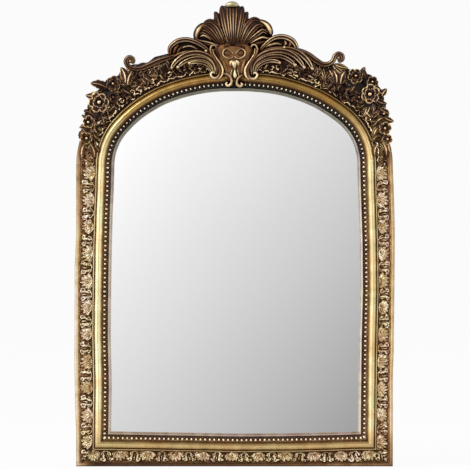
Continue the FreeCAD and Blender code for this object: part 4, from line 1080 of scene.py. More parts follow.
# A ground is its centre, outline and rise; a lobe its rows, flutes and the depth of their grooves
fanLeft = {
    "ground": ((-54, 868), [
        (-24, 848), (-30, 866), (-40, 883), (-52, 891), (-66, 887), (-78, 875), (-83, 863), (-78, 855), (-60, 848),
        (-40, 844),
    ], 24),
    "lobes": [
        ([
            (-27, 845, 3, 33, 0.6), (-39, 856, 5, 36, 0.7), (-52, 867, 6.6, 38, 0.75), (-64, 873, 6, 38, 0.8),
            (-73, 868, 4, 36, 0.9),
        ], 2, 1.9),
        ([
            (-24, 845, 4, 35, 0.6), (-34, 860, 7, 39, 0.75), (-46, 876, 8.6, 41, 0.75), (-58, 884, 7.6, 41, 0.6),
            (-69, 880, 4.4, 39, 0.8),
        ], 3, 1.9),
        ([
            (-20, 846, 4, 36, 0.6), (-27, 864, 7.4, 41, 0.9), (-37, 882, 8.6, 43, 0.8), (-49, 891, 7.6, 43, 0.55),
            (-62, 888, 4.4, 41, 0.5),
        ], 3, 1.9),
        ([
            (-56, 889, 3, 38, 0.5), (-66, 884, 5.6, 41, 0.8), (-73, 875, 7, 43, 1.25), (-76.5, 865, 6.4, 41, 0.9),
            (-76, 857.5, 4.4, 39, 0.6), (-66, 854, 3.4, 38, 0.8), (-54, 851.5, 3.2, 37, 1.0),
            (-42, 848, 2.8, 36, 1.0), (-29, 843, 2.4, 35, 0.6),
        ], 1, 0.9),
        ([
            (-70, 862, 1.6, 33, 0.8), (-62, 865, 2.4, 35, 0.9), (-53, 861, 2.2, 35, 0.9), (-46, 855, 1.8, 33, 0.6),
        ], 0, 1.0),
        ([(-30, 840, 3, 34, 0.4), (-46, 845, 4, 35, 0.5), (-62, 849, 3, 34, 0.4)], 0, 1.0),
    ],
}
fanRight = {
    "ground": ((46, 868), [
        (12, 848), (17, 866), (27, 884), (42, 895), (58, 891), (70, 882), (76, 868), (72, 858), (55, 850), (30, 844),
    ], 24),
    "lobes": [
        ([
            (18, 846, 3, 33, 0.6), (32, 856, 5, 36, 0.8), (46, 867, 6.6, 38, 0.9), (58, 874, 6, 38, 0.9),
            (67, 868, 4, 36, 0.9),
        ], 2, 1.9),
        ([
            (15, 846, 4, 35, 0.6), (25, 862, 7, 39, 0.85), (37, 878, 8.6, 41, 0.85), (49, 887, 7.6, 41, 0.7),
            (60, 883, 4.4, 39, 0.8),
        ], 3, 1.9),
        ([
            (12, 847, 4, 36, 0.6), (18, 866, 7.4, 41, 0.9), (28, 885, 8.6, 43, 0.8), (40, 895, 7.6, 43, 0.55),
            (53, 892, 4.4, 41, 0.5),
        ], 3, 1.9),
        ([
            (48, 895, 3, 38, 0.6), (58, 891, 5.2, 41, 0.9), (66.5, 884, 6.4, 43, 1.35), (71.5, 874, 6, 43, 1.25),
            (74, 865, 4, 38, 0.7),
        ], 1, 0.8),
        ([
            (77, 862, 2.2, 36, 0.7), (67, 859, 3, 38, 0.8), (57, 861, 4.2, 41, 1.1), (47, 857.5, 3.6, 40, 1.0),
            (31, 848, 2.6, 35, 0.7),
        ], 1, 0.8),
        ([(34, 844, 3.4, 34, 0.4), (48, 850, 5, 35, 0.5), (64, 853, 4, 34, 0.4)], 0, 1.0),
    ],
}
shoulderLeft = {
    "ground": ((-92, 838), [
        (-131, 824), (-132, 842), (-119, 854), (-92, 861), (-72, 856), (-54, 843), (-38, 828), (-60, 818), (-98, 816),
    ], 26),
    "lobes": [
        ([
            (-130, 824, 3, 36, 0.7), (-129, 840, 5, 39, 0.9), (-117, 851.5, 5.6, 41), (-95, 856, 5.6, 41),
            (-75, 850, 5.2, 40, 0.9), (-58, 839, 4.5, 39, 0.9), (-44, 826, 3, 37, 0.7),
        ], 2, 1.4),
        ([
            (-108, 838, 1.6, 33, 0.7), (-100, 842, 2, 35, 0.8), (-89, 843.5, 2.2, 35, 0.85), (-78, 839, 2, 34, 0.7),
            (-70, 832, 1.6, 33, 0.5),
        ], 0, 0.8),
        ([
            (-124, 822, 3, 34, 0.6), (-106, 830, 4.4, 37, 0.75), (-86, 833, 4.8, 38, 0.75), (-66, 829, 4.4, 37, 0.7),
            (-50, 820, 3, 35, 0.6),
        ], 1, 0.7),
        ([(-122, 828, 2, 35, 0.5), (-119, 838, 2.6, 38, 0.6), (-112, 847, 2, 36, 0.5)], 0, 1),
        ([(-115, 825, 2, 34, 0.4), (-112, 835, 2.4, 37, 0.5), (-104, 843, 2, 35, 0.4)], 0, 1),
    ],
    "knob": (-57, 834, 3.4, 41),
}
shoulderRight = {
    "ground": ((88, 844), [
        (46, 828), (52, 842), (66, 856), (84, 867), (112, 863), (126, 850), (127, 838), (116, 828), (80, 822),
    ], 26),
    "lobes": [
        ([
            (50, 834, 3, 36, 0.7), (64, 849, 4.6, 39, 1.0), (82, 860.5, 5.6, 41, 1.1), (102, 861, 6, 41, 1.1),
            (118, 852, 6, 41, 1.05), (124, 840, 4.6, 39, 1.0), (121, 829, 2.6, 36, 0.7),
        ], 2, 1.4),
        ([
            (60, 841, 2, 35, 0.6), (72, 846, 2.8, 37, 0.75), (86, 848.5, 2.8, 37, 0.75), (95, 846, 2.2, 36, 0.6),
        ], 0, 1),
        ([
            (47, 828, 3, 34, 0.6), (64, 836, 4, 37, 0.75), (84, 840, 4.4, 38, 0.75), (104, 839, 4.4, 38, 0.75),
            (121, 832, 3, 36, 0.6),
        ], 1, 0.7),
        ([(107, 840, 2, 36, 0.5), (112, 847, 2.6, 38, 0.65), (110, 855, 2.2, 37, 0.5)], 0, 1),
        ([(99, 842, 2, 35, 0.5), (103, 849, 2.4, 37, 0.8), (100, 856, 2, 36, 0.5)], 0, 1),
    ],
    "knob": (100, 841, 3.0, 41),
}
for name, shape, node in (
    ("fanLeft", fanLeft, "fan_left"),
    ("fanRight", fanRight, "fan_right"),
    ("shoulderLeft", shoulderLeft, "shoulder_left"),
    ("shoulderRight", shoulderRight, "shoulder_right"),
):
    centre, outline, groundTop = shape["ground"]
    skins = [pillow(centre, outline, crestBase, groundTop)]
    skins += [lobe(rows, crestBase, flutes, groove, grain=(44, 25)) for rows, flutes, groove in shape["lobes"]]
    if "knob" in shape:
        x, z, radius, top = shape["knob"]
        skins.append(boss(x, z, radius, 24, top, 1.1))
    pieceOf(name + "Carving", skins, crestGilt, [node], 170)

cartouche = {
    "plate": ((0, 815), [
        (-28, 846), (-10, 851), (8, 851), (25, 846), (38, 836), (33, 812), (22, 795), (16, 780), (0, 775), (-16, 780),
        (-25, 795), (-35, 812), (-42, 836),
    ], 36.0),
    # The strips' tones paint the plate's light and shade: the darkest, under the plume, beside the long scrolls and
    # behind the pendant, are painted shade.
    "strips": [
        [(-24, 818, 3, 37, 0.4), (-20, 804, 4.6, 39, 0.6), (-15, 786, 3.4, 38, 0.5)],
        [(22, 820, 3.2, 37, 0.5), (18, 804, 5.4, 39, 0.62), (14, 786, 3.8, 38, 0.55)],
        [(-24, 829, 6, 36.6, 0.4), (-14.5, 829.5, 8.5, 37, 0.42), (-4, 828, 5, 36.6, 0.35)],
        [(22, 829, 6, 36.6, 0.3), (12.5, 829.5, 8.5, 37, 0.34), (2, 828, 5, 36.6, 0.35)],
        [(0, 813, 7, 36.6, 0.15), (0.5, 800, 7.5, 37, 0.12), (1, 784, 5, 36.6, 0.2)],
        [(-22, 842, 2.4, 37, 0.2), (-4, 847, 3.6, 38, 0.2), (9, 845, 3, 38, 0.2), (22, 839, 2.4, 37, 0.2)],
        [(-37, 838, 3, 36.6, 0.2), (-33, 826, 4, 37, 0.15), (-29, 812, 2.6, 36.6, 0.25)],
        [(34, 838, 3, 36.6, 0.3), (30, 826, 3.6, 37, 0.25), (27, 812, 2.6, 36.6, 0.3)],
    ],
}
centre, outline, plateTop = cartouche["plate"]
skins = [pillow(centre, outline, crestBase, plateTop, 3.0, 0.5)]
skins += [lobe(rows, 33) for rows in cartouche["strips"]]
pieceOf("cartouchePlate", skins, plateGilt, ["cartouche"])

bow = {
    "left": [
        (-2, 828, 1.5, 38, 0.9), (-8, 833.5, 1.3, 39.5, 0.75), (-15, 838, 1.3, 40, 0.8), (-22, 834, 1.4, 40.5, 0.9),
        (-23, 826, 1.4, 40.5, 0.95), (-16, 820, 1.4, 40.5, 0.95), (-6, 819.5, 1.3, 40, 0.8), (-2.5, 823, 1.3, 39),
    ],
    "right": [
        (1, 828, 1.5, 38, 0.9), (7, 834, 1.3, 39.5, 0.75), (14, 838, 1.3, 40, 0.8), (20, 834, 1.4, 40.5, 0.9),
        (21, 826, 1.4, 40.5, 0.95), (13, 819.5, 1.4, 40.5, 0.95), (4, 819.5, 1.3, 40, 0.8), (0.5, 823, 1.3, 39),
    ],
}
bowSkins = [lobe(bow[side], 34.5, 0, grain=(56, 11)) for side in bothSides]
pieceOf("bowScroll", bowSkins, crestGilt, ["bow_scroll"])

pendant = {
    "lobes": [
        [(-1, 815, 3.4, 40, 1.1), (-0.5, 809, 6, 43, 1.15), (0, 802, 4, 42, 1.0), (0.6, 797, 2, 40, 0.8)],
        [(-2, 813, 3, 40, 1.1), (-6, 812, 3.4, 42, 1.15), (-8.2, 806.5, 2.6, 41, 1.0), (-7.4, 803, 1.4, 39)],
        [(1, 813, 3, 40, 1.1), (5.4, 812, 3.4, 42, 1.15), (7.8, 806.5, 2.6, 41, 1.0), (7, 803, 1.4, 39)],
        [(0.6, 797, 1.4, 40), (0.8, 791, 2.4, 42, 1.1), (1, 784.5, 4.0, 43.5, 1.2), (1, 778.5, 2.6, 42, 1.1)],
        [(-4, 797, 1.2, 38, 0.8), (-7, 789, 1.6, 39, 0.8), (-6, 781, 1.3, 39, 0.7)],
        [(5, 797, 1.2, 38, 0.8), (8, 789, 1.6, 39, 0.8), (7.5, 781, 1.3, 39, 0.7)],
    ],
}
pendantSkins = [lobe(rows, 34.5, 0, grain=(22, 13)) for rows in pendant["lobes"]]
pieceOf("pendantDrop", pendantSkins, crestGilt, ["pendant_drop"])

longScroll = {
    "left": {
        "body": [
            (-36, 839.5, 1.4, 40, 0.8), (-38.5, 844, 1.8, 41, 0.8), (-44, 845, 2, 42, 0.8),
            (-48, 839, 2.2, 42.5, 0.75), (-46.5, 829, 2.6, 43, 0.65), (-40, 818, 3.2, 43, 0.55),
            (-32, 806, 4.2, 43, 0.5), (-28, 795, 4.8, 42.5, 0.5), (-30, 785, 4.2, 42, 0.6),
            (-36, 779.5, 3.2, 42, 0.8), (-44, 780.5, 2.6, 42, 1.05), (-47.5, 787, 2.4, 42, 1.1),
            (-43, 791.5, 2, 41.5, 1.1), (-39.5, 788, 1.6, 41),
        ],
        "edge": [
            (-43.6, 838, 0.8, 43, 0.8), (-42, 829, 1, 44, 0.85), (-36, 819, 1.2, 44.5, 0.95),
            (-28, 807.5, 1.5, 45, 1.0), (-23.6, 795, 1.9, 45, 1.1), (-25.5, 784, 1.7, 44.5, 1.1),
            (-32, 776.8, 1.2, 43, 0.9),
        ],
    },
    "right": {
        "body": [
            (33, 840, 1.4, 40, 0.8), (35.5, 845, 1.8, 41, 0.8), (41, 846, 2, 42, 0.8), (45.5, 840, 2.2, 42.5, 0.75),
            (44.5, 830, 2.6, 43, 0.65), (38, 818, 3.2, 43, 0.55), (30.5, 806, 4.2, 43, 0.5),
            (25.5, 794, 5, 42.5, 0.5), (27.5, 784, 4.4, 42, 0.6), (33.5, 778, 3.2, 42, 0.8), (42, 779, 2.6, 42, 1.05),
            (45.5, 786, 2.4, 42, 1.1), (41, 790.5, 2, 41.5, 1.1), (37.5, 787, 1.6, 41),
        ],
        "edge": [
            (41, 839, 0.8, 43, 0.8), (40, 829, 1, 44, 0.85), (34, 818.5, 1.2, 44.5, 0.95), (26.2, 807, 1.6, 45, 1.05),
            (20.8, 794, 2.2, 45, 1.2), (22.8, 783, 1.9, 44.5, 1.15), (29.6, 775.6, 1.2, 43, 0.9),
        ],
    },
}
for side in bothSides:
    scroll = longScroll[side]
    skins = [lobe(scroll["body"], 24, 0, grain=(120, 17)), lobe(scroll["edge"], 36, 0, grain=(80, 11))]
    pieceOf("longScroll_" + side, skins, crestGilt, ["s_scroll_" + side], 170)

lowerScroll = {
    "left": [
        (-28, 784, 1.4, 39, 0.6), (-20, 788, 2.2, 41, 0.7), (-11.5, 785, 2.5, 42.5, 0.8), (-6.5, 777, 2.6, 42.5, 0.8),
        (-7, 768, 2.8, 42, 0.9), (-13, 764, 2.8, 41, 1.0), (-17, 768, 2.2, 40, 1.0), (-13.5, 771, 1.6, 40),
    ],
    "right": [
        (25, 782.5, 1.4, 39, 0.6), (17, 785.5, 2.2, 41, 0.7), (9.5, 781.5, 2.5, 42.5, 0.8), (5, 774, 2.6, 42.5, 0.8),
        (5.5, 766, 2.8, 42, 0.9), (11.5, 763, 2.8, 41, 1.0), (15.5, 767, 2.2, 40, 1.0), (12, 770, 1.6, 40),
    ],
}
lowerSkins = [lobe(lowerScroll[side], 21.5, 0, grain=(60, 13)) for side in bothSides]
pieceOf("lowerScrolls", lowerSkins, crestGilt, ["lower_scrolls"])

# The leaves of the acanthus, from the root out to each rolled tip
acanthus = {
    "left": [
        [
            (-38, 784, 3, 37, 1.0), (-37, 802, 4.8, 40, 0.9), (-47, 819, 6.4, 41, 0.85), (-66, 828.5, 7.4, 41.5, 0.8),
            (-90, 828.5, 7.4, 41.5, 0.8), (-110, 819, 6.4, 41, 0.9), (-122, 807, 5, 40, 1.2),
            (-127, 798, 3.4, 38, 1.4),
        ],
        [
            (-41, 786, 3, 37, 1.0), (-43, 802, 4.6, 39, 0.9), (-54, 814.5, 5.8, 40, 0.8), (-72, 819, 6.2, 40.5, 0.75),
            (-91, 816, 5.8, 40.5, 0.8), (-106, 808, 4.6, 40, 1.1), (-115, 800, 3.2, 38, 1.3),
        ],
        [
            (-44, 789, 3, 36, 1.0), (-49, 800, 3.8, 38, 0.9), (-58, 807.5, 4.6, 39, 0.85), (-71, 811, 4.8, 40, 0.9),
            (-83, 811, 4.6, 40.5, 1.2), (-92, 809, 3.8, 39.5, 1.4),
        ],
    ],
    "right": [
        [
            (80, 836, 3, 37, 0.8), (103, 839, 5.4, 39.5, 0.8), (123, 833.5, 6.6, 41, 0.8), (140, 821.5, 6.6, 41, 0.9),
            (151, 808, 5.2, 40, 1.1), (157, 796, 3.4, 38, 1.3),
        ],
        [
            (36, 784, 3, 37, 1.0), (36, 803, 5, 40, 0.9), (49, 822, 6.4, 41, 0.85), (74, 833, 7.2, 41.5, 0.8),
            (100, 833, 7.2, 41.5, 0.8), (120, 824, 6.4, 41, 0.9), (133, 811, 5, 40, 1.2), (141, 799, 3.4, 38, 1.4),
        ],
        [
            (39, 786, 3, 37, 1.0), (41, 803, 4.6, 39, 0.9), (55, 816.5, 5.8, 40, 0.8), (75, 823, 6.2, 40.5, 0.75),
            (96, 822, 6, 40.5, 0.8), (112, 814, 5, 40, 1.1), (123, 804, 3.6, 38, 1.3),
        ],
        [
            (42, 789, 3, 36, 1.0), (47, 801, 3.8, 38, 0.9), (57, 809, 4.6, 39, 0.85), (71, 813.5, 4.8, 40, 0.9),
            (83, 813, 4.6, 40.5, 1.2), (92, 809.5, 3.8, 39.5, 1.4),
        ],
    ],
}
acanthusBase, acanthusLight = 18, 1.08
for side in bothSides:
    skins = []
    for rows in acanthus[side]:
        lighter = [row[:4] + (acanthusLight * row[4],) for row in rows]
        skins.append(lobe(lighter, acanthusBase, 2, 1.8, grain=(60, 31)))
    for rows in acanthus[side]:
        (x0, z0, _, top, _), (x1, z1, *_) = rows[-2:]
        roll = [
            (0.6 * x0 + 0.4 * x1, 0.6 * z0 + 0.4 * z1, 1.6, top + 1.0, 0.6),
            (0.2 * x0 + 0.8 * x1, 0.2 * z0 + 0.8 * z1, 3.4, top + 2.0, 1.0),
            (1.2 * x1 - 0.2 * x0, 1.2 * z1 - 0.2 * z0 + 1.5, 4.0, top + 1.5, 1.1),
        ]
        skins.append(lobe(roll, acanthusBase, grain=(14, 13)))
    pieceOf("acanthus_" + side, skins, crestGilt, ["acanthus_" + side], 170)

# band rows as above; eye is x, z, radius; leaves run from x, z to x, z with half width and rise
arms = {
    "left": {
        "band": [
            (-108, 828, 3.4, 32, 0.7), (-130, 820.5, 6, 34, 0.8), (-152, 813.5, 7.2, 35, 0.8),
            (-172, 805, 7, 35, 0.8), (-189, 798.5, 6, 35, 0.8), (-203, 798.5, 5.2, 35, 0.8),
            (-213.5, 804, 5.2, 35, 0.7), (-217.5, 814, 5.2, 35, 0.8), (-211.5, 821.5, 4.6, 35, 0.9),
            (-203.5, 818.5, 3.8, 35, 0.9), (-202.5, 812, 3, 35, 0.9), (-207.5, 809.5, 2.2, 35, 0.9),
        ],
        "eye": (-209, 813.5, 4.2),
        "leaves": [
            (-132, 812, -158, 791, 7, 31), (-146, 810, -176, 781, 8, 32), (-162, 806, -194, 786, 7, 31),
            (-178, 800, -206, 784, 7, 31), (-192, 802, -222, 788, 7, 31),
        ],
    },
    "right": {
        "band": [
            (110, 838, 3.4, 32, 0.7), (130, 833.5, 6, 34, 0.8), (148, 825, 7.2, 35, 0.8), (164, 813.5, 7, 35, 0.8),
            (178, 806.5, 6, 35, 0.8), (190, 808, 5.4, 35, 1.0), (198.5, 815.5, 5.2, 35, 1.1), (202, 824, 5, 35, 1.0),
            (209, 828.5, 4.8, 35, 0.8), (216, 824.5, 4.8, 35, 0.9), (216.5, 816.5, 4, 35, 0.8),
            (211, 813.5, 3, 35, 0.8), (207.5, 817, 2.2, 35, 0.9),
        ],
        "eye": (209, 820, 4.2),
        "leaves": [
            (200, 808, 228, 800, 7, 31), (196, 806, 224, 784, 8, 32), (188, 804, 206, 774, 8.5, 32),
            (174, 806, 182, 776, 8, 32), (158, 812, 166, 782, 7.5, 31), (146, 818, 152, 790, 6.5, 31),
        ],
    },
}
for side in bothSides:
    arm = arms[side]
    x, z, radius = arm["eye"]
    skins = [lobe(arm["band"], crestBase, 2, 1.5, grain=(90, 25)), boss(x, z, radius, 22, 37, 0.8)]
    skins += [leaf(*row, base=18, bend=0.08, tone=1.15, flutes=3) for row in arm["leaves"]]
    pieceOf("voluteArm_" + side, skins, crestGilt, ["volute_arm_" + side], 170)
print("crest made")


sprayBase = 20.5
filler = {
    "jitter": (0.1, 0.9),
    "springEdge": 48,  # farthest reach at the springs
    "springShare": 0.14,
    "crowding": 0.8,
    "turn": 1.4,
    "half": (0.45, 0.6),
    "top": (31, 36),
    "bend": 0.15,
    "tone": (0.45, 1.35),
    "scallops": 3,
}


# Small filling leaves scattered along the arch between two shares of its length, nearest and farthest from the
# sight edge; they turn at random, mostly outward, and lie closer in towards the spring
def fillLeaves(first, last, count, nearest, farthest, seed, size=(4.5, 8.5)):
    dice = np.random.default_rng(seed)
    made = []
    for k in range(count):
        share = first + (last - first) * (k + dice.uniform(*filler["jitter"])) / count
        inward = float(smoothStep(min(share, 1 - share), 0.0, filler["springShare"]))
        edge = filler["springEdge"] + (farthest - filler["springEdge"]) * inward
        reach = nearest + (edge - nearest) * dice.uniform(0, 1) ** filler["crowding"]
        x, z, _ = runPlaces("arch", np.array(share), np.array(reach))
        outX, outZ, _ = runPlaces("arch", np.array(share), np.array(reach + 1.0))
        turn = math.atan2(outZ - z, outX - x) + dice.uniform(-filler["turn"], filler["turn"])
        long = dice.uniform(*size)
        stepX, stepZ = long * math.cos(turn), long * math.sin(turn)
        half, top = dice.uniform(*filler["half"]) * long, dice.uniform(*filler["top"])
        bend = dice.uniform(-filler["bend"], filler["bend"])
        tone = dice.uniform(*filler["tone"])
        ends = (x - stepX, z - stepZ, x + stepX, z + stepZ)
        made.append(leaf(*ends, half, top, sprayBase, bend, tone, filler["scallops"]))
    return made


# flowers: x, z, radius, rise, petals, turn, tone, inner petals; leaves: x, z to x, z, half width, rise, bend, tone;
# fill and sprigs as fillLeaves takes them; beyond and mass are dark leafy grounds in rows as above, their dark tone
# painted shade in the gaps between the flowers and leaves
sprays = {
    "left": {
        "flowers": [
            (-243.5, 768, 16.5, 39, 6, 0.2, 0.8, 3),
            (-271.5, 731, 22, 41, 6, 0.5, 1.35, 4),
            (-243, 741, 12, 37, 5, 0.9, 0.7, 0),
            (-293.5, 691, 13.5, 38, 5, 0.1, 1.25, 0),
            (-297, 659, 13.5, 38, 5, 0.6, 1.2, 0),
            (-278, 697, 9, 35, 5, 0.4, 0.5, 0),
        ],
        "leaves": [
            (-214, 764, -204, 794, 9, 40, -0.1, 1.2),
            (-219, 768, -228, 801, 10, 41, 0.1, 1.1),
            (-254, 758, -289, 768.5, 10, 36, 0.1, 0.8),
            (-262, 750, -299, 745, 10, 36, -0.1, 1.1),
            (-226, 760, -206, 748, 7, 35, 0.1, 0.7),
            (-254, 712, -240, 728, 7, 35, 0.1, 0.7),
            (-282, 704, -303, 714, 7, 35, 0.1, 0.7),
            (-268, 706, -262, 684, 7, 35, -0.1, 0.6),
            (-284, 672, -272, 656, 6.5, 34, 0.1, 0.7),
            (-303, 676, -309, 656, 6, 34, 0.1, 0.6),
            (-300, 648, -305, 616, 8, 35, 0.12, 0.9),
            (-292, 650, -281, 620, 7.5, 34, -0.12, 0.9),
            (-284, 645, -270, 628, 6, 33, -0.1, 0.7),
        ],
        "beyond": [
            (-246, 780, 5, 28, 0.14), (-258, 766, 7, 29, 0.14), (-268, 750, 9, 29, 0.14), (-282, 728, 10, 29, 0.14),
            (-290, 706, 8, 28, 0.14), (-297, 684, 6, 28, 0.14),
        ],
        "mass": [
            (-298, 628, 10, 28, 0.2), (-291, 660, 17, 30, 0.14), (-281, 694, 20, 31, 0.14), (-266, 725, 22, 32, 0.14),
            (-245, 752, 20, 32, 0.14), (-224, 774, 18, 32, 0.14), (-200, 792, 16, 31, 0.14), (-170, 804, 9, 29, 0.14),
        ],
        "fill": (0.0, 0.27, 110, 44, 84, 61),
        "sprigs": (0.22, 0.4, 42, 54, 74, 62),
    },
    "right": {
        "flowers": [
            (243.5, 784, 16.5, 39, 6, 0.3, 1.0, 3),
            (271.5, 747, 20.5, 41, 6, 0.1, 1.25, 4),
            (277, 772, 12, 37, 5, 0.6, 1.0, 0),
            (302, 679, 13.5, 38, 5, 0.2, 1.25, 0),
            (307, 657, 11.5, 37, 5, 0.7, 1.2, 0),
            (250, 741, 11, 36, 5, 0.5, 0.8, 0),
            (300, 708, 13, 37, 5, 0.9, 1.1, 0),
        ],
        "leaves": [
            (205, 768, 198, 796, 9, 39, 0.1, 1.1),
            (213, 766, 222, 794, 9, 40, -0.1, 1.1),
            (284, 758, 302, 746, 8, 36, 0.1, 0.8),
            (262, 778, 254, 797, 6.5, 36, 0.1, 0.6),
            (284, 736, 306, 728, 7, 36, 0.1, 0.8),
            (272, 724, 258, 702, 8, 36, -0.1, 1.0),
            (290, 722, 311, 708, 7, 36, 0.1, 0.8),
            (288, 698, 276, 682, 7, 35, -0.1, 0.8),
            (300, 702, 320, 693, 7, 35, 0.1, 0.9),
            (286, 668, 274, 652, 6, 34, -0.1, 0.8),
            (296, 652, 304, 622, 8, 35, -0.12, 0.95),
            (288, 648, 282, 622, 7.5, 34, 0.12, 0.95),
            (310, 648, 314, 628, 5.5, 34, 0.1, 1.1),
            (296, 742, 306, 758, 7, 37, -0.1, 1.0),
            (262, 716, 276, 700, 7, 37, 0.1, 1.3),
            (258, 704, 264, 722, 5.5, 36, 0.1, 1.3),
            (284, 690, 300, 700, 6, 36, -0.1, 1.2),
            (280, 664, 288, 680, 6, 36, -0.1, 1.3),
            (252, 792, 262, 802, 5, 34, 0.1, 0.9),
        ],
        "beyond": [
            (248, 788, 8, 28, 0.14), (266, 776, 13, 29, 0.14), (281, 758, 12, 29, 0.14), (289, 740, 11, 29, 0.14),
            (295, 721, 10, 29, 0.14), (301, 702, 8, 28, 0.14),
        ],
        "mass": [
            (300, 628, 10, 28, 0.2), (295, 660, 16, 30, 0.14), (286, 694, 20, 31, 0.14), (270, 726, 22, 32, 0.14),
            (251, 752, 21, 32, 0.14), (230, 773, 21, 32, 0.14), (203, 790, 19, 31, 0.14), (172, 804, 9, 29, 0.14),
        ],
        "fill": (0.73, 1.0, 110, 44, 86, 83),
        "sprigs": (0.62, 0.78, 40, 54, 74, 84),
    },
}
for side in bothSides:
    spray = sprays[side]
    blooms = []
    for x, z, radius, top, petals, turn, tone, inner in spray["flowers"]:
        blooms += flower(x, z, radius, top, petals, turn, tone, sprayBase, inner)
    pieceOf("sprayFlowers_" + side, blooms, sprayGilt, ["spray_flowers_" + side])
    leaves = [leaf(*row[:6], sprayBase, *row[6:]) for row in spray["leaves"]]
    for ground, scallops in (("mass", 11), ("beyond", 7)):
        leaves.append(lobe(spray[ground], sprayBase, form="leaf", groove=2.0, scallops=scallops, grain=(80, 25)))
    leaves += fillLeaves(*spray["fill"]) + fillLeaves(*spray["sprigs"], size=(5.0, 9.0))
    pieceOf("sprayLeaves_" + side, leaves, sprayGilt, ["spray_leaves_" + side])
print("sprays made")


studio = {
    "floorWidth": 36.0,
    "floorFront": -0.42,
    "floorBack": 18.0,
    "wallHeight": 9.0,
    "coveRadius": 2.0,
    "floorDrop": 0.0004,  # keeps the floor clear of the part's foot
    "grey": 0.86,
    "whiteShare": 0.88,
}


# Floor that bends up into a backdrop: a straight run, a quarter circle and a straight rise
def coveMesh():
    turn = np.linspace(0, math.pi / 2, 16)
    radius, back = studio["coveRadius"], studio["floorBack"]
    y = np.concatenate([[studio["floorFront"], 0.5], back - radius + radius * np.sin(turn), [back]])
    z = np.concatenate([[0, 0], radius - radius * np.cos(turn), [studio["wallHeight"]]]) - studio["floorDrop"]
    half = studio["floorWidth"] / 2
    points = np.concatenate([np.stack([np.full(len(y), side), y, z], 1) for side in (-half, half)])
    n = len(y)
    k = np.arange(n - 1)
    mesh = bpy.data.meshes.new("studioFloor")
    mesh.from_pydata(points.tolist(), [], np.stack([k, k + n, k + n + 1, k + 1], 1).tolist())
    mesh.polygons.foreach_set("use_smooth", np.ones(len(mesh.polygons), bool))
    mesh.update()
    return mesh


floorObject = bpy.data.objects.new("studioFloor", coveMesh())
bpy.context.scene.collection.objects.link(floorObject)
paper = bpy.data.materials.new("studioPaper")
paper.use_nodes = True
tree = paper.node_tree
tree.nodes.clear()
grey = studio["grey"]
matt = addNode(tree, "ShaderNodeBsdfDiffuse", {"Color": (grey, grey, grey, 1)})
plainWhite = addNode(tree, "ShaderNodeEmission", {"Color": (1, 1, 1, 1), "Strength": 1.0})
rays = addNode(tree, "ShaderNodeLightPath").outputs
mirrored = mathNode(tree, "MAXIMUM", rays["Is Glossy Ray"], rays["Is Transmission Ray"])
seen = mathNode(tree, "MAXIMUM", rays["Is Camera Ray"], mirrored)
mixed = addNode(tree, "ShaderNodeMixShader")
for socket, source in zip(
    mixed.inputs, (mathNode(tree, "MULTIPLY", seen, studio["whiteShare"]), matt.outputs[0], plainWhite.outputs[0])
):
    tree.links.new(source, socket)
tree.links.new(mixed.outputs[0], addNode(tree, "ShaderNodeOutputMaterial").inputs[0])
floorObject.data.materials.append(paper)

# The room in front is a soft slope of light, bright at the upper left, which the glass shows. It is brighter to
# the sides and darker above and below. What the camera sees directly is plain white.
roomLight = {
    "across": -6.7,
    "up": 5.57,
    "slopeRange": (-0.45, 0.3),
    "poles": -0.75,
    "middle": 0.745,
    "least": 0.12,
}
room = bpy.data.worlds.new("studioRoom")
bpy.context.scene.world = room
room.use_nodes = True
tree = room.node_tree
tree.nodes.clear()
way = addNode(tree, "ShaderNodeTexCoord").outputs["Generated"]
parts = addNode(tree, "ShaderNodeSeparateXYZ", links={"Vector": way})
across, depth, up = parts.outputs["X"], parts.outputs["Y"], parts.outputs["Z"]
level = mathNode(tree, "MULTIPLY", across, roomLight["across"])
slope = mathNode(tree, "ADD", level, mathNode(tree, "MULTIPLY", up, roomLight["up"]))
slope = mathNode(tree, "MAXIMUM", slope, roomLight["slopeRange"][0])
slope = mathNode(tree, "MINIMUM", slope, roomLight["slopeRange"][1])
aside = mathNode(tree, "MULTIPLY", across, across)
poles = mathNode(tree, "MULTIPLY", mathNode(tree, "MULTIPLY", up, up), roomLight["poles"])
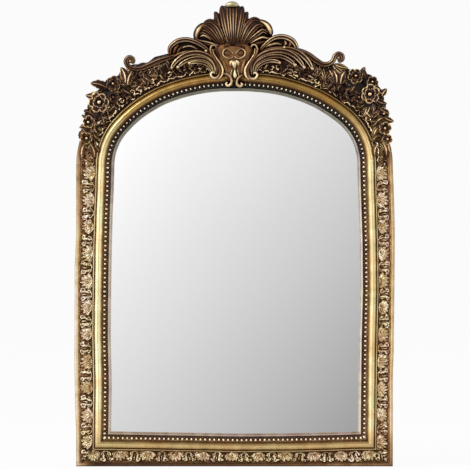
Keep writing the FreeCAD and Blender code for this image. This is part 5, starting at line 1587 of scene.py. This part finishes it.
core = mathNode(tree, "ADD", mathNode(tree, "ADD", slope, aside), poles)
held = mathNode(tree, "MAXIMUM", mathNode(tree, "ADD", core, roomLight["middle"]), roomLight["least"])
behind = mathNode(tree, "GREATER_THAN", depth, 0.0)
lit = addNode(tree, "ShaderNodeBackground", {"Strength": 1.0}, {"Color": blended(tree, behind, held, (1, 1, 1, 1))})
white = addNode(tree, "ShaderNodeBackground", {"Color": (1, 1, 1, 1), "Strength": 1.0})
cameraRay = addNode(tree, "ShaderNodeLightPath").outputs["Is Camera Ray"]
mixed = addNode(tree, "ShaderNodeMixShader")
for socket, source in zip(mixed.inputs, (cameraRay, lit.outputs[0], white.outputs[0])):
    tree.links.new(source, socket)
tree.links.new(mixed.outputs[0], addNode(tree, "ShaderNodeOutputWorld").inputs[0])

lamps = {  # place, size and power
    "keyLamp": ((-2.2, -2.6, 2.6), 1.1, 42.0),
    "sideLamp": ((2.8, -1.8, 1.4), 0.9, 14.0),
}
lampTarget = (0, 0, 0.5)
for name, (place, size, power) in lamps.items():
    lamp = bpy.data.lights.new(name, "AREA")
    lamp.size, lamp.energy = size, power
    lampObject = bpy.data.objects.new(name, lamp)
    lampObject.location = place
    aim = np.array(lampTarget) - np.array(place)
    pitch, yaw = math.acos(-aim[2] / np.linalg.norm(aim)), math.atan2(aim[1], aim[0]) - math.pi / 2
    lampObject.rotation_euler = (pitch, 0, yaw)
    bpy.context.scene.collection.objects.link(lampObject)

view = {
    "place": (0.001, -10.0, 0.4646),
    "lens": 380.6,
    "sensor": 36.0,
    "clip": (0.05, 60.0),
}
camera = bpy.data.cameras.new("studioCamera")
camera.lens, camera.sensor_width = view["lens"], view["sensor"]
camera.clip_start, camera.clip_end = view["clip"]
cameraObject = bpy.data.objects.new("studioCamera", camera)
cameraObject.location = view["place"]
cameraObject.rotation_euler = (math.pi / 2, 0, 0)
bpy.context.scene.collection.objects.link(cameraObject)
bpy.context.scene.camera = cameraObject
bpy.context.scene.view_settings.view_transform = "Standard"
